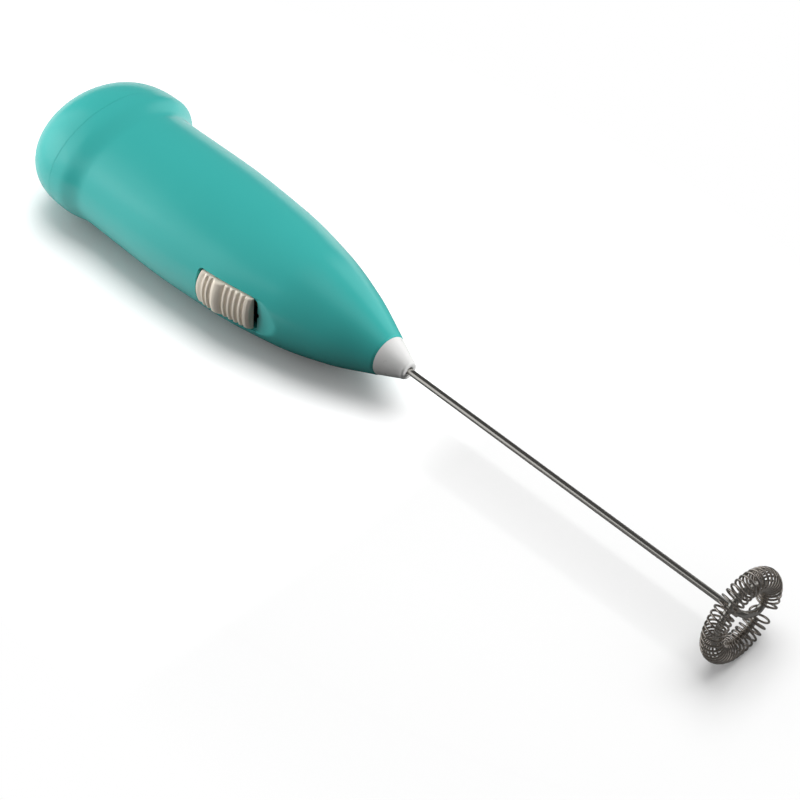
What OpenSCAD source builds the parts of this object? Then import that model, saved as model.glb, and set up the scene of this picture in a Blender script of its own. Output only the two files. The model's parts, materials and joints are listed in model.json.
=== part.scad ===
// Hand-held milk frother that runs on two AA cells: an oval moulded handle with a flared pommel, a thumb
// slide switch in a flat on its edge, a small flat-can motor, and a coil-spring whisk on a steel rod.
//
// The frother lies on its side as on a table, resting on the pommel's rim and the whisk.
// Each piece is drawn about the rod's axis, which is +X from the pommel's end, with the switch facing -Y.
// laid() then leans the whole tool onto the table, so that z = 0 is the table top.

/* [Handle] */
// Length of the moulded handle, from the pommel's flat end to the nose cone
handle_length = 109.3; // [107:0.1:112]
// Wall thickness of the shell and the battery cover
wall = 1.4; // [1.2:0.1:1.5]
// Depth of the domed pommel, up to its widest place
pommel_depth = 18; // [16:0.5:19]
// Width of the pommel at its flared rim
flare_w = 40; // [39:0.5:44]
// Height of the pommel at its flared rim
flare_h = 28; // [27.6:0.2:32]
// Sideways shift of the flared rim, away from the switch
flare_shift = 1.3; // [0:0.1:2]
// Width of the neck behind the flare
neck_w = 34.8; // [34.6:0.1:36]
// Height of the neck behind the flare
neck_h = 26.6; // [26.4:0.1:27]
// Width of the belly, the fullest part of the grip
belly_w = 35.2; // [35:0.1:37]
// Height of the belly
belly_h = 26.8; // [26.6:0.1:27.2]
// Width at the waist, where the taper begins
waist_w = 33; // [32.6:0.1:34]
// Height at the waist
waist_h = 25.8; // [25.4:0.1:26.4]

/* [Nose and rod] */
// Diameter of the handle's end, where the nose cone is
nose_d = 9.7; // [9.6:0.1:10.4]
// Length of the nose cone that shows
nose_length = 6.5; // [6:0.1:8]
// Diameter of the nose cone's blunt tip, before its edge is rounded
nose_tip_d = 4.6; // [4.4:0.1:5.4]
// Diameter of the steel rod and the whisk's core wire
rod_d = 1.5; // [1.2:0.1:1.8]

/* [Whisk] */
// Distance from the pommel's end to the plane of the whisk ring
ring_x = 208; // [190:1:230]
// Radius of the ring, to the middle of the coil
ring_r = 8.5; // [8:0.1:10]
// Outside diameter of the coil
coil_d = 5; // [4.6:0.1:5.4]
// Diameter of the coil's spring wire
coil_wire_d = 0.6; // [0.5:0.05:0.7]
// Number of turns in the coil
coil_turns = 42; // [30:1:46]

/* [Switch] */
// Length of the thumb slide
slide_length = 15.2; // [15:0.1:15.6]
// Height of the thumb slide, across the handle
slide_h = 8.4; // [8:0.1:9]
// Travel of the thumb slide from off to on
slide_travel = 4.5; // [3:0.1:4.5]
// Tilt of the switch about the rod's axis, so that the slide faces a little upwards
switch_tilt = 5; // [0:0.5:6]

/* [Cells] */
// Diameter of an AA cell
cell_d = 14.2; // [13.5:0.1:14.2]
// Length of an AA cell with its terminal
cell_length = 50.5; // [49.5:0.1:50.5]

/* [Hidden] */
$fn = 48;

teal = [0.26, 0.70, 0.68];
cream = [0.80, 0.77, 0.71];
white_plastic = [0.90, 0.90, 0.90];
steel = [0.62, 0.61, 0.60];
spring_steel = [0.55, 0.54, 0.53];
brass = [0.78, 0.63, 0.32];
copper = [0.72, 0.42, 0.24];
black_plastic = [0.13, 0.13, 0.14];
cell_wrap = [0.20, 0.22, 0.25];
ferrite = [0.25, 0.25, 0.27];
core_steel = [0.45, 0.45, 0.47];
nylon = [0.90, 0.89, 0.85];
bronze = [0.66, 0.50, 0.30];
red_pvc = [0.75, 0.10, 0.08];
black_pvc = [0.08, 0.08, 0.08];

running_gap = 0.04;      // radial clearance of a shaft in its bush
seam_gap = 0.1;          // gap all round the battery cover

// ---- the handle's form: ellipses along the rod's axis --------------------------------------------------

// Each row is [x, half width, half height, sideways shift].
body_form = [
    [pommel_depth, flare_w / 2, flare_h / 2, flare_shift],
    [0.229 * handle_length, neck_w / 2, neck_h / 2, 0],
    [0.42 * handle_length, belly_w / 2, belly_h / 2, 0],
    [0.613 * handle_length, waist_w / 2, waist_h / 2, 0],
    [0.768 * handle_length, 13.6, 12, 0],
    [0.892 * handle_length, 9.7, 9.1, 0],
    [handle_length, nose_d / 2, nose_d / 2, 0]
];
dome_virtual_depth = pommel_depth + 1.2;   // the dome would close 1.2 behind the flat that ends it
dome_power = 2.8;
ring_sides = 24;
body_step = 4;
flat_to_corner = cos(180 / ring_sides);   // the flats of a ring touch the ellipse, and its corners stand off

function rise(i, k) =
    (body_form[i + 1][k] - body_form[i][k]) / (body_form[i + 1][0] - body_form[i][0]);

// Slope at a row: level where the form turns, otherwise the harmonic mean of the slopes on both sides.
function slope(i, k) =
    i == 0 ? 0
    : i == len(body_form) - 1 ? rise(i - 1, k)
    : let (a = rise(i - 1, k), b = rise(i, k)) a * b <= 0 ? 0 : 2 * a * b / (a + b);

function row_before(x, i = 0) =
    i >= len(body_form) - 2 || x < body_form[i + 1][0] ? i : row_before(x, i + 1);

// Column k of the form at x, on a smooth cubic between rows.
function form(x, k) =
    let (i = row_before(x), x0 = body_form[i][0], run = body_form[i + 1][0] - x0, t = (x - x0) / run)
    body_form[i][k] * (1 - 3 * t * t + 2 * t * t * t)
    + body_form[i + 1][k] * (3 * t * t - 2 * t * t * t)
    + run * slope(i, k) * (t - 2 * t * t + t * t * t)
    + run * slope(i + 1, k) * (t * t * t - t * t);

// How far the dome has opened at x, from 0 to 1 at the rim.
function dome(x, inset) =
    sqrt(1 - pow((pommel_depth - x) / (dome_virtual_depth - inset), dome_power));

// [half width, half height, shift] at x, for the surface that lies inset inside the outer one.
function section(x, inset) =
    x < pommel_depth
    ? [(flare_w / 2 - inset) * dome(x, inset), (flare_h / 2 - inset) * dome(x, inset), flare_shift]
    : [form(x, 1) - inset, form(x, 2) - inset, form(x, 3)];

// Ring positions between x0 and x1, closer together on the dome and the flare.
function stations(x0, x1) = concat(
    x0 < pommel_depth ? [for (i = [0:7]) x0 + (pommel_depth - x0) * sin(90 * i / 8)] : [],
    [for (i = [0:4], x = [pommel_depth + 2 * i]) if (x >= x0 && x < x1 - 1) x],
    [for (i = [1:30], x = [pommel_depth + 8 + body_step * i]) if (x > x0 && x < x1 - 1) x],
    [x1]
);

// A closed solid lofted through the sections from x0 to x1.
module loft(inset, x0, x1) {
    xs = stations(x0, x1);
    points = [
        for (x = xs)
            let (s = section(x, inset))
            for (k = [0:ring_sides - 1])
                let (a = 360 * (k + 0.5) / ring_sides)
                [x, s[2] + s[0] * cos(a) / flat_to_corner, s[1] * sin(a) / flat_to_corner]
    ];
    last = (len(xs) - 1) * ring_sides;
    faces = concat(
        [[for (k = [0:ring_sides - 1]) k]],
        [[for (k = [ring_sides - 1:-1:0]) last + k]],
        [
            for (i = [0:len(xs) - 2], k = [0:ring_sides - 1])
                let (n = (k + 1) % ring_sides, a = i * ring_sides)
                [a + k, a + ring_sides + k, a + ring_sides + n, a + n]
        ]
    );
    polyhedron(points, faces, convexity = 6);
}

// ---- how the tool lies on the table --------------------------------------------------------------------

total_length = ring_x + coil_d / 2;
ring_outer_r = ring_r + coil_d / 2;
lean = atan((flare_h / 2 - ring_outer_r) / (ring_x - pommel_depth));
rim_drop = flare_h / 2 * cos(lean) + pommel_depth * sin(lean);

module laid() {
    translate([-total_length / 2, -flare_shift, rim_drop])
        rotate([0, lean, 0])
            children();
}

// ---- helpers -------------------------------------------------------------------------------------------

// Turns a flat outline, drawn as [y, z], into a solid from x to x + length.
module along_x(x, length) {
    translate([x, 0, 0])
        rotate([90, 0, 90])
            linear_extrude(length)
                children();
}

// A round bar about the rod's axis.
module bar(x0, x1, r, sides = 48) {
    translate([x0, 0, 0])
        rotate([0, 90, 0])
            cylinder(h = x1 - x0, r = r, $fn = sides);
}

// A box given by its lowest and highest corners.
module block(low, high) {
    translate(low)
        cube(high - low);
}

// A plate across the handle, with rounded corners, made of one hull.
module rounded_plate(x0, x1, y0, y1, z0, z1, r) {
    hull()
        for (y = [y0 + r, y1 - r], z = [z0 + r, z1 - r])
            translate([0, y, z])
                bar(x0, x1, r, 16);
}

// A slot through the wall on the switch's side, from y = -30 in to y1, with rounded corners.
module rounded_slot(x0, x1, y1, half_h, r) {
    hull()
        for (x = [x0 + r, x1 - r], z = [r - half_h, half_h - r])
            translate([x, y1, z])
                rotate([90, 0, 0])
                    cylinder(h = y1 + 30, r = r, $fn = 16);
}

// A round wire swept along points, each with a unit normal to start its section from.
module wire(points, normals, r, sides) {
    n = len(points);
    rings = [
        for (i = [0:n - 1])
            let (
                step = points[min(i + 1, n - 1)] - points[max(i - 1, 0)],
                along = step / norm(step),
                flat = normals[i] - along * (normals[i] * along),
                u = flat / norm(flat),
                v = cross(along, u)
            )
            for (k = [0:sides - 1])
                let (a = 360 * k / sides)
                points[i] + r * (cos(a) * u + sin(a) * v)
    ];
    faces = concat(
        [for (k = [1:sides - 2]) [0, k, k + 1]],
        [for (k = [1:sides - 2]) [(n - 1) * sides, (n - 1) * sides + k + 1, (n - 1) * sides + k]],
        [
            for (i = [0:n - 2], k = [0:sides - 1])
                let (m = (k + 1) % sides, a = i * sides)
                each [
                    [a + k, a + sides + m, a + m],
                    [a + k, a + sides + k, a + sides + m]
                ]
        ]
    );
    polyhedron(rings, faces, convexity = 10);
}

// A coil spring along X that starts at x0 with radius r0 and ends at x1 with radius r1.
module coil_spring(x0, x1, r0, r1, turns, wire_r) {
    steps = turns * 12;
    points = [
        for (i = [0:steps])
            let (t = i / steps, a = 30 * i, r = r0 + (r1 - r0) * t)
            [x0 + (x1 - x0) * t, r * cos(a), r * sin(a)]
    ];
    normals = [for (i = [0:steps]) [0, cos(30 * i), sin(30 * i)]];
    wire(points, normals, wire_r, 5);
}

// A round wire through corner points, with a ball at each corner.
module bent_wire(corners, r) {
    for (i = [0:len(corners) - 2]) {
        step = corners[i + 1] - corners[i];
        translate(corners[i])
            rotate([0, acos(step[2] / norm(step)), atan2(step[1], step[0])])
                cylinder(h = norm(step), r = r);
    }
    for (i = [1:len(corners) - 2])
        translate(corners[i])
            sphere(r + 0.02);
}

// ---- battery bay and cover -----------------------------------------------------------------------------

cover_seam_x = 15;            // the end cap meets the shell just behind the flared rim
cover_end_x = 62;             // front end of the cover's tongue
cover_split_z = -4.5;         // level of the long seams
cell_r = cell_d / 2;
cell_y = cell_r + 0.05;
cell_can_length = cell_length - 1;
bridge_x = 5;                 // rear face of the plate that joins the two cells
front_plate_x = 60;           // rear face of the front contact plates
plate_t = 0.4;

// The space that the cover takes out of the handle, shrunk by gap.
module cover_zone(gap) {
    block([-5, -30, -30], [cover_seam_x - gap, 30, 30]);
    block([-5, -30, -30], [cover_end_x - gap, 30, cover_split_z - gap]);
}

module skin() {
    difference() {
        loft(0, 0, handle_length);
        loft(wall, wall, handle_length - 2.5);
    }
}

// Straight rails, one each side, keep the cover's tongue from dropping. Each has a bead along its top edge.
rail_y = 13.85;
rail_t = 0.7;
rail_x0 = 13;
rail_x1 = 50;
rail_foot_z = -5.9;
rail_top_z = -2.8;
bead_h = 0.6;
bead_out = 0.5;
bead_gap = 0.25;

// A box on each side of the handle, from y0 to y1 away from its middle plane.
module both_sides(x0, x1, y0, y1, z0, z1) {
    block([x0, y0, z0], [x1, y1, z1]);
    block([x0, -y1, z0], [x1, -y0, z1]);
}

module cover_rails() {
    both_sides(rail_x0, rail_x1, rail_y, rail_y + rail_t, rail_foot_z, rail_top_z);
    both_sides(rail_x0, rail_x1, rail_y, rail_y + rail_t + bead_out, rail_top_z - bead_h, rail_top_z);
}

// Grooves in the shell that the rails' beads run in. They are open at the pommel end.
module rail_grooves() {
    both_sides(
        cover_seam_x - 1, rail_x1 + 1, rail_y - 1, rail_y + rail_t + bead_out + bead_gap,
        rail_top_z - bead_h - bead_gap, rail_top_z + bead_gap
    );
}

groove_x0 = 45;
groove_pitch = 2.6;
groove_r = 1.1;
groove_lift = 0.55;           // how far a groove's middle lies outside the surface

// Five grooves across the tongue, which give the thumb a grip to push the cover off.
module finger_grooves() {
    for (i = [0:4]) {
        x = groove_x0 + groove_pitch * i;
        reach = 5 - abs(i - 2);
        hull()
            for (y = [-reach, reach])
                translate([x, y, -form(x, 2) - groove_lift])
                    sphere(groove_r, $fn = 16);
    }
}

spigot_x0 = 12.5;
spigot_x1 = 17.4;
spigot_z0 = cover_split_z + 2; // clear above the rails
spigot_gap = 0.15;            // clearance of the spigot in the shell's mouth
spigot_t = 0.8;

// A band that lies from outset outside the lining to the spigot's inner face, and ends at x1.
module spigot_band(outset, x1) {
    inner = wall + spigot_gap + spigot_t;
    intersection() {
        difference() {
            loft(wall - outset, wall, 30);
            loft(inner, wall - 0.1, 31);
        }
        block([spigot_x0, -30, spigot_z0], [x1, 30, 30]);
    }
}

module battery_cover() {
    laid()
        color(teal)
            difference() {
                union() {
                    intersection() {
                        skin();
                        cover_zone(seam_gap);
                    }
                    intersection() {
                        cover_rails();
                        loft(wall / 2, wall / 2, handle_length - 3);
                    }
                    // spigot that centres the end cap in the shell's mouth, and its root in the cap
                    spigot_band(-spigot_gap, spigot_x1);
                    spigot_band(0.3, cover_seam_x - seam_gap);
                    front_hook();
                    bridge_posts();
                }
                finger_grooves();
            }
}

hook_half_w = 2.5;
hook_t = 0.8;
hook_gap = 0.35;              // clearance of the hook over the shell's floor

// The hook reaches past the cover's end, just above the shell's floor. Its tip's corners are cut off.
module front_hook() {
    root_x = cover_end_x - 6;
    tip_x = cover_end_x + 3;
    under = -form(tip_x, 2) + wall + hook_gap;
    hull() {
        block([root_x, -hook_half_w, under], [tip_x - 1, hook_half_w, under + hook_t]);
        block([root_x, 1 - hook_half_w, under], [tip_x, hook_half_w - 1, under + hook_t]);
    }
    block([root_x, -hook_half_w, under - 1], [root_x + 4, hook_half_w, under + hook_t / 2]);
}

post_y = 10.5;
post_z = 3.6;

// Four posts moulded in the end cap. They lean outwards and carry the bridge plate on their ends.
module bridge_posts() {
    for (y = [-post_y, post_y], z = [-post_z, post_z])
        hull() {
            translate([0, y * 0.6, z])
                bar(0.8, 1.8, 1, 16);
            translate([0, y, z])
                bar(bridge_x - 1, bridge_x, 0.9, 16);
        }
}

// ---- handle shell --------------------------------------------------------------------------------------

flat_y = -12.9;               // the flat on the handle's edge that the thumb slide runs on
pad_y = -11.4;                // inner face of the pad behind that flat
slide_x0 = 65;
slide_x1 = slide_x0 + slide_length;
slide_gap = 0.35;             // gap between the slide and its pocket
pocket_half_h = slide_h / 2 + slide_gap;
slot_x0 = slide_x0 + 3.2;
slot_x1 = slide_x1 + 1.1;
slot_half_h = slide_h / 2 - 0.3;
notch_half_h = 0.6;           // a small notch in the slot's front end

// The switch's own place: turned about the rod's axis by its tilt.
module in_switch() {
    rotate([-switch_tilt, 0, 0])
        children();
}

// The same turn, for a single point.
function switch_point(p) = [
    p[0],
    p[1] * cos(switch_tilt) + p[2] * sin(switch_tilt),
    p[2] * cos(switch_tilt) - p[1] * sin(switch_tilt)
];

motor_x0 = 63.4;
can_x0 = 65.4;
can_x1 = 86.5;
can_r = 10;
can_half_w = 7.5;
can_t = 0.5;

module can_outline(grow) {
    intersection() {
        circle(r = can_r + grow, $fn = 64);
        square([2 * (can_half_w + grow), 30], center = true);
    }
}

pad_x1 = 90;                  // front end of the pad

// Solid backing behind the flat, for the slot to be cut in.
module switch_pad() {
    reach = pocket_half_h + 1.2;
    intersection() {
        loft(0.3, 0.3, handle_length - 1);
        in_switch()
            block([slide_x0 - 1.4, -30, -reach], [pad_x1, pad_y, reach]);
    }
}

rib_xs = [71, 82];            // where the two ribs that carry the motor stand
rib_t = 1.4;

// Ribs across the inside that carry the motor, with a window in each for its can and one for the switch.
module motor_ribs() {
    reach = pocket_half_h + 1;
    for (x = rib_xs)
        intersection() {
            loft(wall / 2, wall / 2, handle_length - 3);
            difference() {
                rounded_plate(x, x + rib_t, -17, 17, -14, 14, 3);
                along_x(x - 1, rib_t + 2)
                    can_outline(0.05);
                in_switch()
                    rounded_plate(x - 1, x + rib_t + 1, -15, 0.6 - can_half_w, -reach, reach, 1);
            }
        }
}

ledge_x = 61.7;
ledge_t = 0.8;

// Ledges above and beside the front bulkhead, which it stands against.
module bulkhead_ledges() {
    intersection() {
        loft(wall / 2, wall / 2, handle_length - 3);
        union() {
            rounded_plate(ledge_x, ledge_x + ledge_t, -9, 9, 9.4, 14, 0.8);
            rounded_plate(ledge_x, ledge_x + ledge_t, 12.8, 17, -3.5, 5, 0.8);
        }
    }
}

module handle_shell() {
    laid()
        color(teal)
            difference() {
                union() {
                    difference() {
                        skin();
                        cover_zone(0);
                    }
                    switch_pad();
                    motor_ribs();
                    bulkhead_ledges();
                }
                // pocket and slot for the thumb slide
                in_switch() {
                    rounded_slot(slide_x0 - slide_gap, 100, flat_y, pocket_half_h, 0.8);
                    rounded_slot(slot_x0, slot_x1, -9, slot_half_h, 0.7);
                    rounded_slot(slot_x1 - 1.5, slot_x1 + 0.5, -9, notch_half_h, 0.4);
                }
                rail_grooves();
                // seat for the nose cone's spigot
                bar(handle_length - 5, handle_length + 1, nose_seat_r);
            }
}

// ---- nose cone -----------------------------------------------------------------------------------------

nose_seat_r = 3.5;
nose_bore_r = rod_d / 2 + 0.2;
nose_edge_r = 0.7;

// A cone with a rounded tip, on a hollow spigot that snaps into the handle's end.
module nose_cone() {
    base_r = nose_d / 2 - 0.1;
    edge_x = nose_length - nose_edge_r;
    edge_r = nose_tip_d / 2 - nose_edge_r;
    laid()
        color(white_plastic)
            translate([handle_length, 0, 0])
                rotate([0, 90, 0])
                    rotate_extrude($fn = 64)
                        polygon(concat(
                            [[nose_bore_r, nose_length], [nose_bore_r, 1.4], [2.9, 1.4], [2.9, -4.6]],
                            [[3.3, -4.6], [3.8, -3.6], [3.8, -3], [3.45, -2.6], [3.45, 0], [base_r, 0]],
                            [
                                for (a = [0:15:90])
                                    [edge_r + nose_edge_r * cos(a), edge_x + nose_edge_r * sin(a)]
                            ]
                        ));
}

// ---- thumb slide and switch ----------------------------------------------------------------------------

// The slide's back, as [distance from its pommel end, height above the handle's surface]:
// two rising ribs, a tall stop, a dip for the thumb, four even ribs and a flat landing.
function rib(s, foot, h) = [[s, foot], [s + 0.28, foot + h], [s + 0.8, foot + h], [s + 1.08, foot]];

slide_crest = concat(
    [[0, -0.1], [0.25, 0.3], [0.75, 0.3]],
    [for (i = [0:1]) each rib(1.2 + 1.25 * i, 0.1 + 0.15 * i, 0.45)],
    [[3.9, 0.4], [4.3, 1.25], [5, 1.35], [5.8, 0.45], [6.5, 0.1]],
    [for (i = [0:3]) each rib(7 + 1.45 * i, 0.05, 0.5)],
    [[12.9, 0.1], [13.15, 0.6], [slide_length - 0.15, 0.6], [slide_length, 0.45]]
);

slide_bow = 1;                // the slide's pommel end curves back this far at its corners
slide_bow_fade = 6;           // length along the slide over which that curve fades out

// Position along the rod's axis of a point on the slide, s from its pommel end and at height z.
function slide_x(s, z) =
    slide_x0 + s + slide_bow * pow(2 * z / slide_h, 2) * max(0, 1 - s / slide_bow_fade);

// Depth of the handle's surface at x, in the switch's own place at height z, from the tilted ellipse there.
function edge_y(x, z) =
    let (
        w = form(x, 1), h = form(x, 2), c = cos(switch_tilt), s = sin(switch_tilt),
        a = pow(c / w, 2) + pow(s / h, 2),
        b = z * c * s * (1 / (w * w) - 1 / (h * h)),
        d = z * z * (pow(s / w, 2) + pow(c / h, 2)) - 1
    )
    (b + sqrt(b * b - a * d)) / a;

// The ribbed button: the crest's outline, lofted across the slide's height so that it follows the handle.
module slide_button() {
    levels = 6;
    n = len(slide_crest);
    base_y = -flat_y + 0.1;
    points = [
        for (k = [0:levels])
            let (z = slide_h * (k / levels - 0.5))
            each concat(
                [
                    for (p = slide_crest)
                        let (x = slide_x(p[0], z))
                        [x, -max(edge_y(x, z) + p[1], base_y + 0.3), z]
                ],
                [for (p = slide_crest) [slide_x(p[0], z), -base_y, z]]
            )
    ];
    top = levels * 2 * n;
    faces = concat(
        [for (i = [0:n - 2]) [i, i + 1, n + i + 1, n + i]],
        [for (i = [0:n - 2]) [top + n + i, top + n + i + 1, top + i + 1, top + i]],
        [
            for (k = [0:levels - 1], i = [0:n - 2])
                let (a = k * 2 * n)
                each [
                    [a + i, a + 2 * n + i, a + 2 * n + i + 1],
                    [a + i, a + 2 * n + i + 1, a + i + 1],
                    [a + n + i, a + n + i + 1, a + 3 * n + i + 1, a + 3 * n + i]
                ]
        ],
        [
            for (k = [0:levels - 1])
                let (a = k * 2 * n, b = a + n - 1)
                each [
                    [a, a + n, a + 3 * n, a + 2 * n],
                    [b, b + 2 * n, b + 3 * n, b + n]
                ]
        ]
    );
    polyhedron(points, faces, convexity = 10);
}

neck_x0 = slide_x0 + 3.5;
neck_x1 = slide_x0 + 11;
neck_half_h = slot_half_h - 0.3;
foot_y0 = pad_y + 0.15;
foot_t = 0.8;
foot_half_h = slot_half_h + 0.9;

// The button, with a neck through the slot and a foot inside that keeps the slide in.
module switch_slide() {
    laid()
        color(cream)
            in_switch() {
                slide_button();
                block([neck_x0, flat_y - 0.2, -neck_half_h], [neck_x1, foot_y0 + 0.1, neck_half_h]);
                block([neck_x0 - 0.5, foot_y0, -foot_half_h], [neck_x1, foot_y0 + foot_t, foot_half_h]);
            }
}

strip_y0 = foot_y0 + foot_t;
strip_t = 0.3;
bump_r = 0.25;
contact_face_y = strip_y0 + strip_t + 2 * bump_r + 0.05;
contact_t = 0.3;
contact_half_h = 1.6;
supply_x1 = 73.8;             // front end of the contact that brings the current in
motor_contact_x0 = 77;        // rear end of the contact that takes it to the motor
bar_at = [4, 10.2];           // the strip's cross bars, from the slide's pommel end
board_y0 = contact_face_y + contact_t;
board_y1 = -can_half_w - 0.6;
board_half_h = 4.8;

// A strip under the slide's foot with two cross bars, which bridges the fixed contacts when it is on.
module slide_contact() {
    laid()
        color(brass)
            in_switch() {
                block([neck_x0 - 0.3, strip_y0, -1.8], [neck_x1 - 0.2, strip_y0 + strip_t, 1.8]);
                for (s = bar_at)
                    translate([slide_x0 + s, strip_y0 + strip_t + bump_r - 0.05, 0])
                        cylinder(h = 2.6, r = bump_r + 0.05, center = true);
            }
}

// Carries the two fixed contacts, with a hole for a locating pin between them.
module switch_board() {
    laid()
        color(black_plastic)
            in_switch()
                difference() {
                    block(
                        [motor_x0 - 0.2, board_y0, -board_half_h],
                        [can_x1 - 2, board_y1, board_half_h]
                    );
                    translate([(supply_x1 + motor_contact_x0) / 2, board_y0 - 1, 0])
                        rotate([-90, 0, 0])
                            cylinder(h = 4, r = 0.7);
                }
}

// Runs from the front positive plate, through the bulkhead, onto the board.
module supply_contact() {
    laid()
        color(brass)
            in_switch()
                block([bulkhead_x0, contact_face_y, -contact_half_h], [supply_x1, board_y0, contact_half_h]);
}

// Fixed contact on the board's front half, with a tab that the red lead is joined to.
module motor_contact() {
    laid()
        color(brass)
            in_switch() {
                translate([motor_contact_x0, 0, 0]) {
                    block([0, contact_face_y, -contact_half_h], [7.2, board_y0, contact_half_h]);
                    block([0, contact_face_y, contact_half_h - 0.1], [1.8, board_y0, 4.6]);
                }
            }
}

// ---- cells and their contacts --------------------------------------------------------------------------

bulkhead_x0 = front_plate_x + plate_t;
bulkhead_t = 1.2;
dimple_x = bridge_x + plate_t + 1;
spring_gap = 0.05;

// A cell whose positive end faces the nose when front is true. x is its rear end, without the terminal.
module cell(x, y, front) {
    terminal_x = front ? x + cell_can_length : x - 1;
    translate([0, y, 0]) {
        translate([x, 0, 0])
            rotate([0, 90, 0])
                rotate_extrude($fn = 64)
                    polygon([
                        [0, 0.3], [cell_r - 1.2, 0.3], [cell_r - 1, 0], [cell_r - 0.4, 0], [cell_r, 0.5],
                        [cell_r, cell_can_length - 0.5], [cell_r - 0.4, cell_can_length],
                        [cell_r - 1, cell_can_length], [cell_r - 1.2, cell_can_length - 0.3],
                        [0, cell_can_length - 0.3]
                    ]);
        bar(front ? terminal_x - 0.4 : terminal_x, front ? terminal_x + 1 : terminal_x + 1.4, 2.7);
    }
}

// The cell on the switch's side has its positive end at the front.
cell_1_x = front_plate_x - 0.05 - cell_length;
cell_2_x = dimple_x + 0.05 + 1;

module battery_1() {
    laid()
        color(cell_wrap)
            cell(cell_1_x, -cell_y, true);
}

module battery_2() {
    laid()
        color(cell_wrap)
            cell(cell_2_x, cell_y, false);
}

// Insulating wall between the battery bay and the motor. It carries the two front plates.
module contact_bulkhead() {
    laid()
        color(black_plastic)
            difference() {
                intersection() {
                    along_x(bulkhead_x0, bulkhead_t)
                        scale([1, 0.74])
                            circle(r = 14.9, $fn = 96);
                    block([bulkhead_x0 - 1, -20, -9.6], [bulkhead_x0 + 3, 20, 20]);
                }
                // window for the supply contact, and a hole for the black lead
                in_switch()
                    block(
                        [bulkhead_x0 - 1, contact_face_y - 0.2, -contact_half_h - 0.3],
                        [bulkhead_x0 + 3, board_y0 + 0.2, contact_half_h + 0.3]
                    );
                translate([0, 3.2, 5])
                    bar(bulkhead_x0 - 1, bulkhead_x0 + 3, 0.6);
            }
}

module positive_plate() {
    laid()
        color(brass)
            along_x(front_plate_x, plate_t)
                translate([-7.6, 0])
                    square([7, 8], center = true);
}

module negative_plate() {
    laid()
        color(brass) {
            along_x(front_plate_x, plate_t)
                translate([7.4, 0])
                    circle(r = 5);
            along_x(front_plate_x, plate_t)
                translate([3.4, 2])
                    square([2.4, 4]);
        }
}

module negative_spring() {
    x_free = cell_2_x + cell_can_length + spring_gap;
    laid()
        color(steel)
            translate([0, cell_y, 0])
                coil_spring(front_plate_x - 0.3, x_free, 4.2, 2.6, 2.5, 0.3);
}

// Plate in the end cap that joins the two cells: a pressed dimple for one, a spring for the other.
module bridge_plate() {
    laid()
        color(brass) {
            along_x(bridge_x, plate_t)
                square([22, 9], center = true);
            translate([0, cell_y, 0])
                translate([bridge_x + plate_t, 0, 0])
                    rotate([0, 90, 0])
                        cylinder(h = dimple_x - bridge_x - plate_t, r1 = 3, r2 = 1.8);
        }
}

module bridge_spring() {
    laid()
        color(steel)
            translate([0, -cell_y, 0])
                coil_spring(bridge_x + plate_t + 0.3, cell_1_x - spring_gap, 3.6, 2.4, 3, 0.3);
}

// ---- motor, fixed pieces -------------------------------------------------------------------------------

shaft_r = 1;
shaft_x1 = 96;                // the motor's shaft meets the rod inside the coupling
bush_r = 2;
core_x0 = 71;
core_x1 = 80;
core_r = 6.4;
terminal_y = 4.8;             // of the motor's two terminals, from its middle plane
brush_half_h = 1.1;

module motor_can() {
    laid()
        color(steel) {
            difference() {
                along_x(can_x0, can_x1 - can_x0)
                    can_outline(0);
                along_x(can_x0 - 1, can_x1 - can_x0 + 1 - can_t)
                    can_outline(-can_t);
                bar(can_x0, can_x1 + 1, bush_r);
            }
            // boss that holds the front bush
            difference() {
                bar(can_x1, can_x1 + 1.8, bush_r + 0.8);
                bar(can_x1 - 1, can_x1 + 3, bush_r);
            }
        }
}

// Two arc magnets in the can's round sides.
module motor_magnets() {
    laid()
        color(ferrite)
            for (side = [0, 180])
                along_x(69, 13)
                    rotate(side)
                        intersection() {
                            difference() {
                                circle(r = can_r - can_t, $fn = 64);
                                circle(r = core_r + 0.5, $fn = 64);
                            }
                            polygon([[0, 0], [-9, 12], [9, 12]]);
                        }
}

module motor_end_cap() {
    laid()
        color(nylon)
            difference() {
                union() {
                    along_x(motor_x0, can_x0 - motor_x0)
                        can_outline(0);
                    along_x(can_x0, 1.6)
                        can_outline(-can_t);
                }
                bar(motor_x0 - 1, can_x0 + 3, bush_r);
                both_sides(
                    motor_x0 - 1, can_x0 + 3, terminal_y - 0.2, terminal_y + 0.2, -brush_half_h, brush_half_h
                );
            }
}

// Terminals pass through the end cap; the brushes are sprung arms on their inner ends.
module motor_terminals() {
    laid()
        color(brass)
            both_sides(
                motor_x0 - 1.4, can_x0 + 2, terminal_y - 0.2, terminal_y + 0.2, -brush_half_h, brush_half_h
            );
}

commutator_r = 2.2;

module motor_brushes() {
    laid()
        color(copper)
            for (side = [-1, 1])
                scale([1, side, 1]) {
                    block([can_x0 + 2, 4.6, -1.1], [can_x0 + 2.3, 5, 1.1]);
                    block([can_x0 + 2, commutator_r + 0.35, -1.1], [can_x0 + 2.3, 4.6, 1.1]);
                    block([can_x0 + 2, commutator_r + 0.05, -1.1], [can_x0 + 4, commutator_r + 0.35, 1.1]);
                }
}

module bush(x0, x1) {
    difference() {
        bar(x0, x1, bush_r);
        bar(x0 - 1, x1 + 1, shaft_r + running_gap);
    }
}

module rear_bush() {
    laid()
        color(bronze)
            bush(motor_x0 + 0.2, can_x0 + 1.4);
}

module front_bush() {
    laid()
        color(bronze)
            bush(can_x1 - can_t - 0.4, can_x1 + 1.8);
}

lead_r = 0.35;
lead_x = motor_x0 - 0.7;      // where the leads turn, behind the motor

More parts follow.
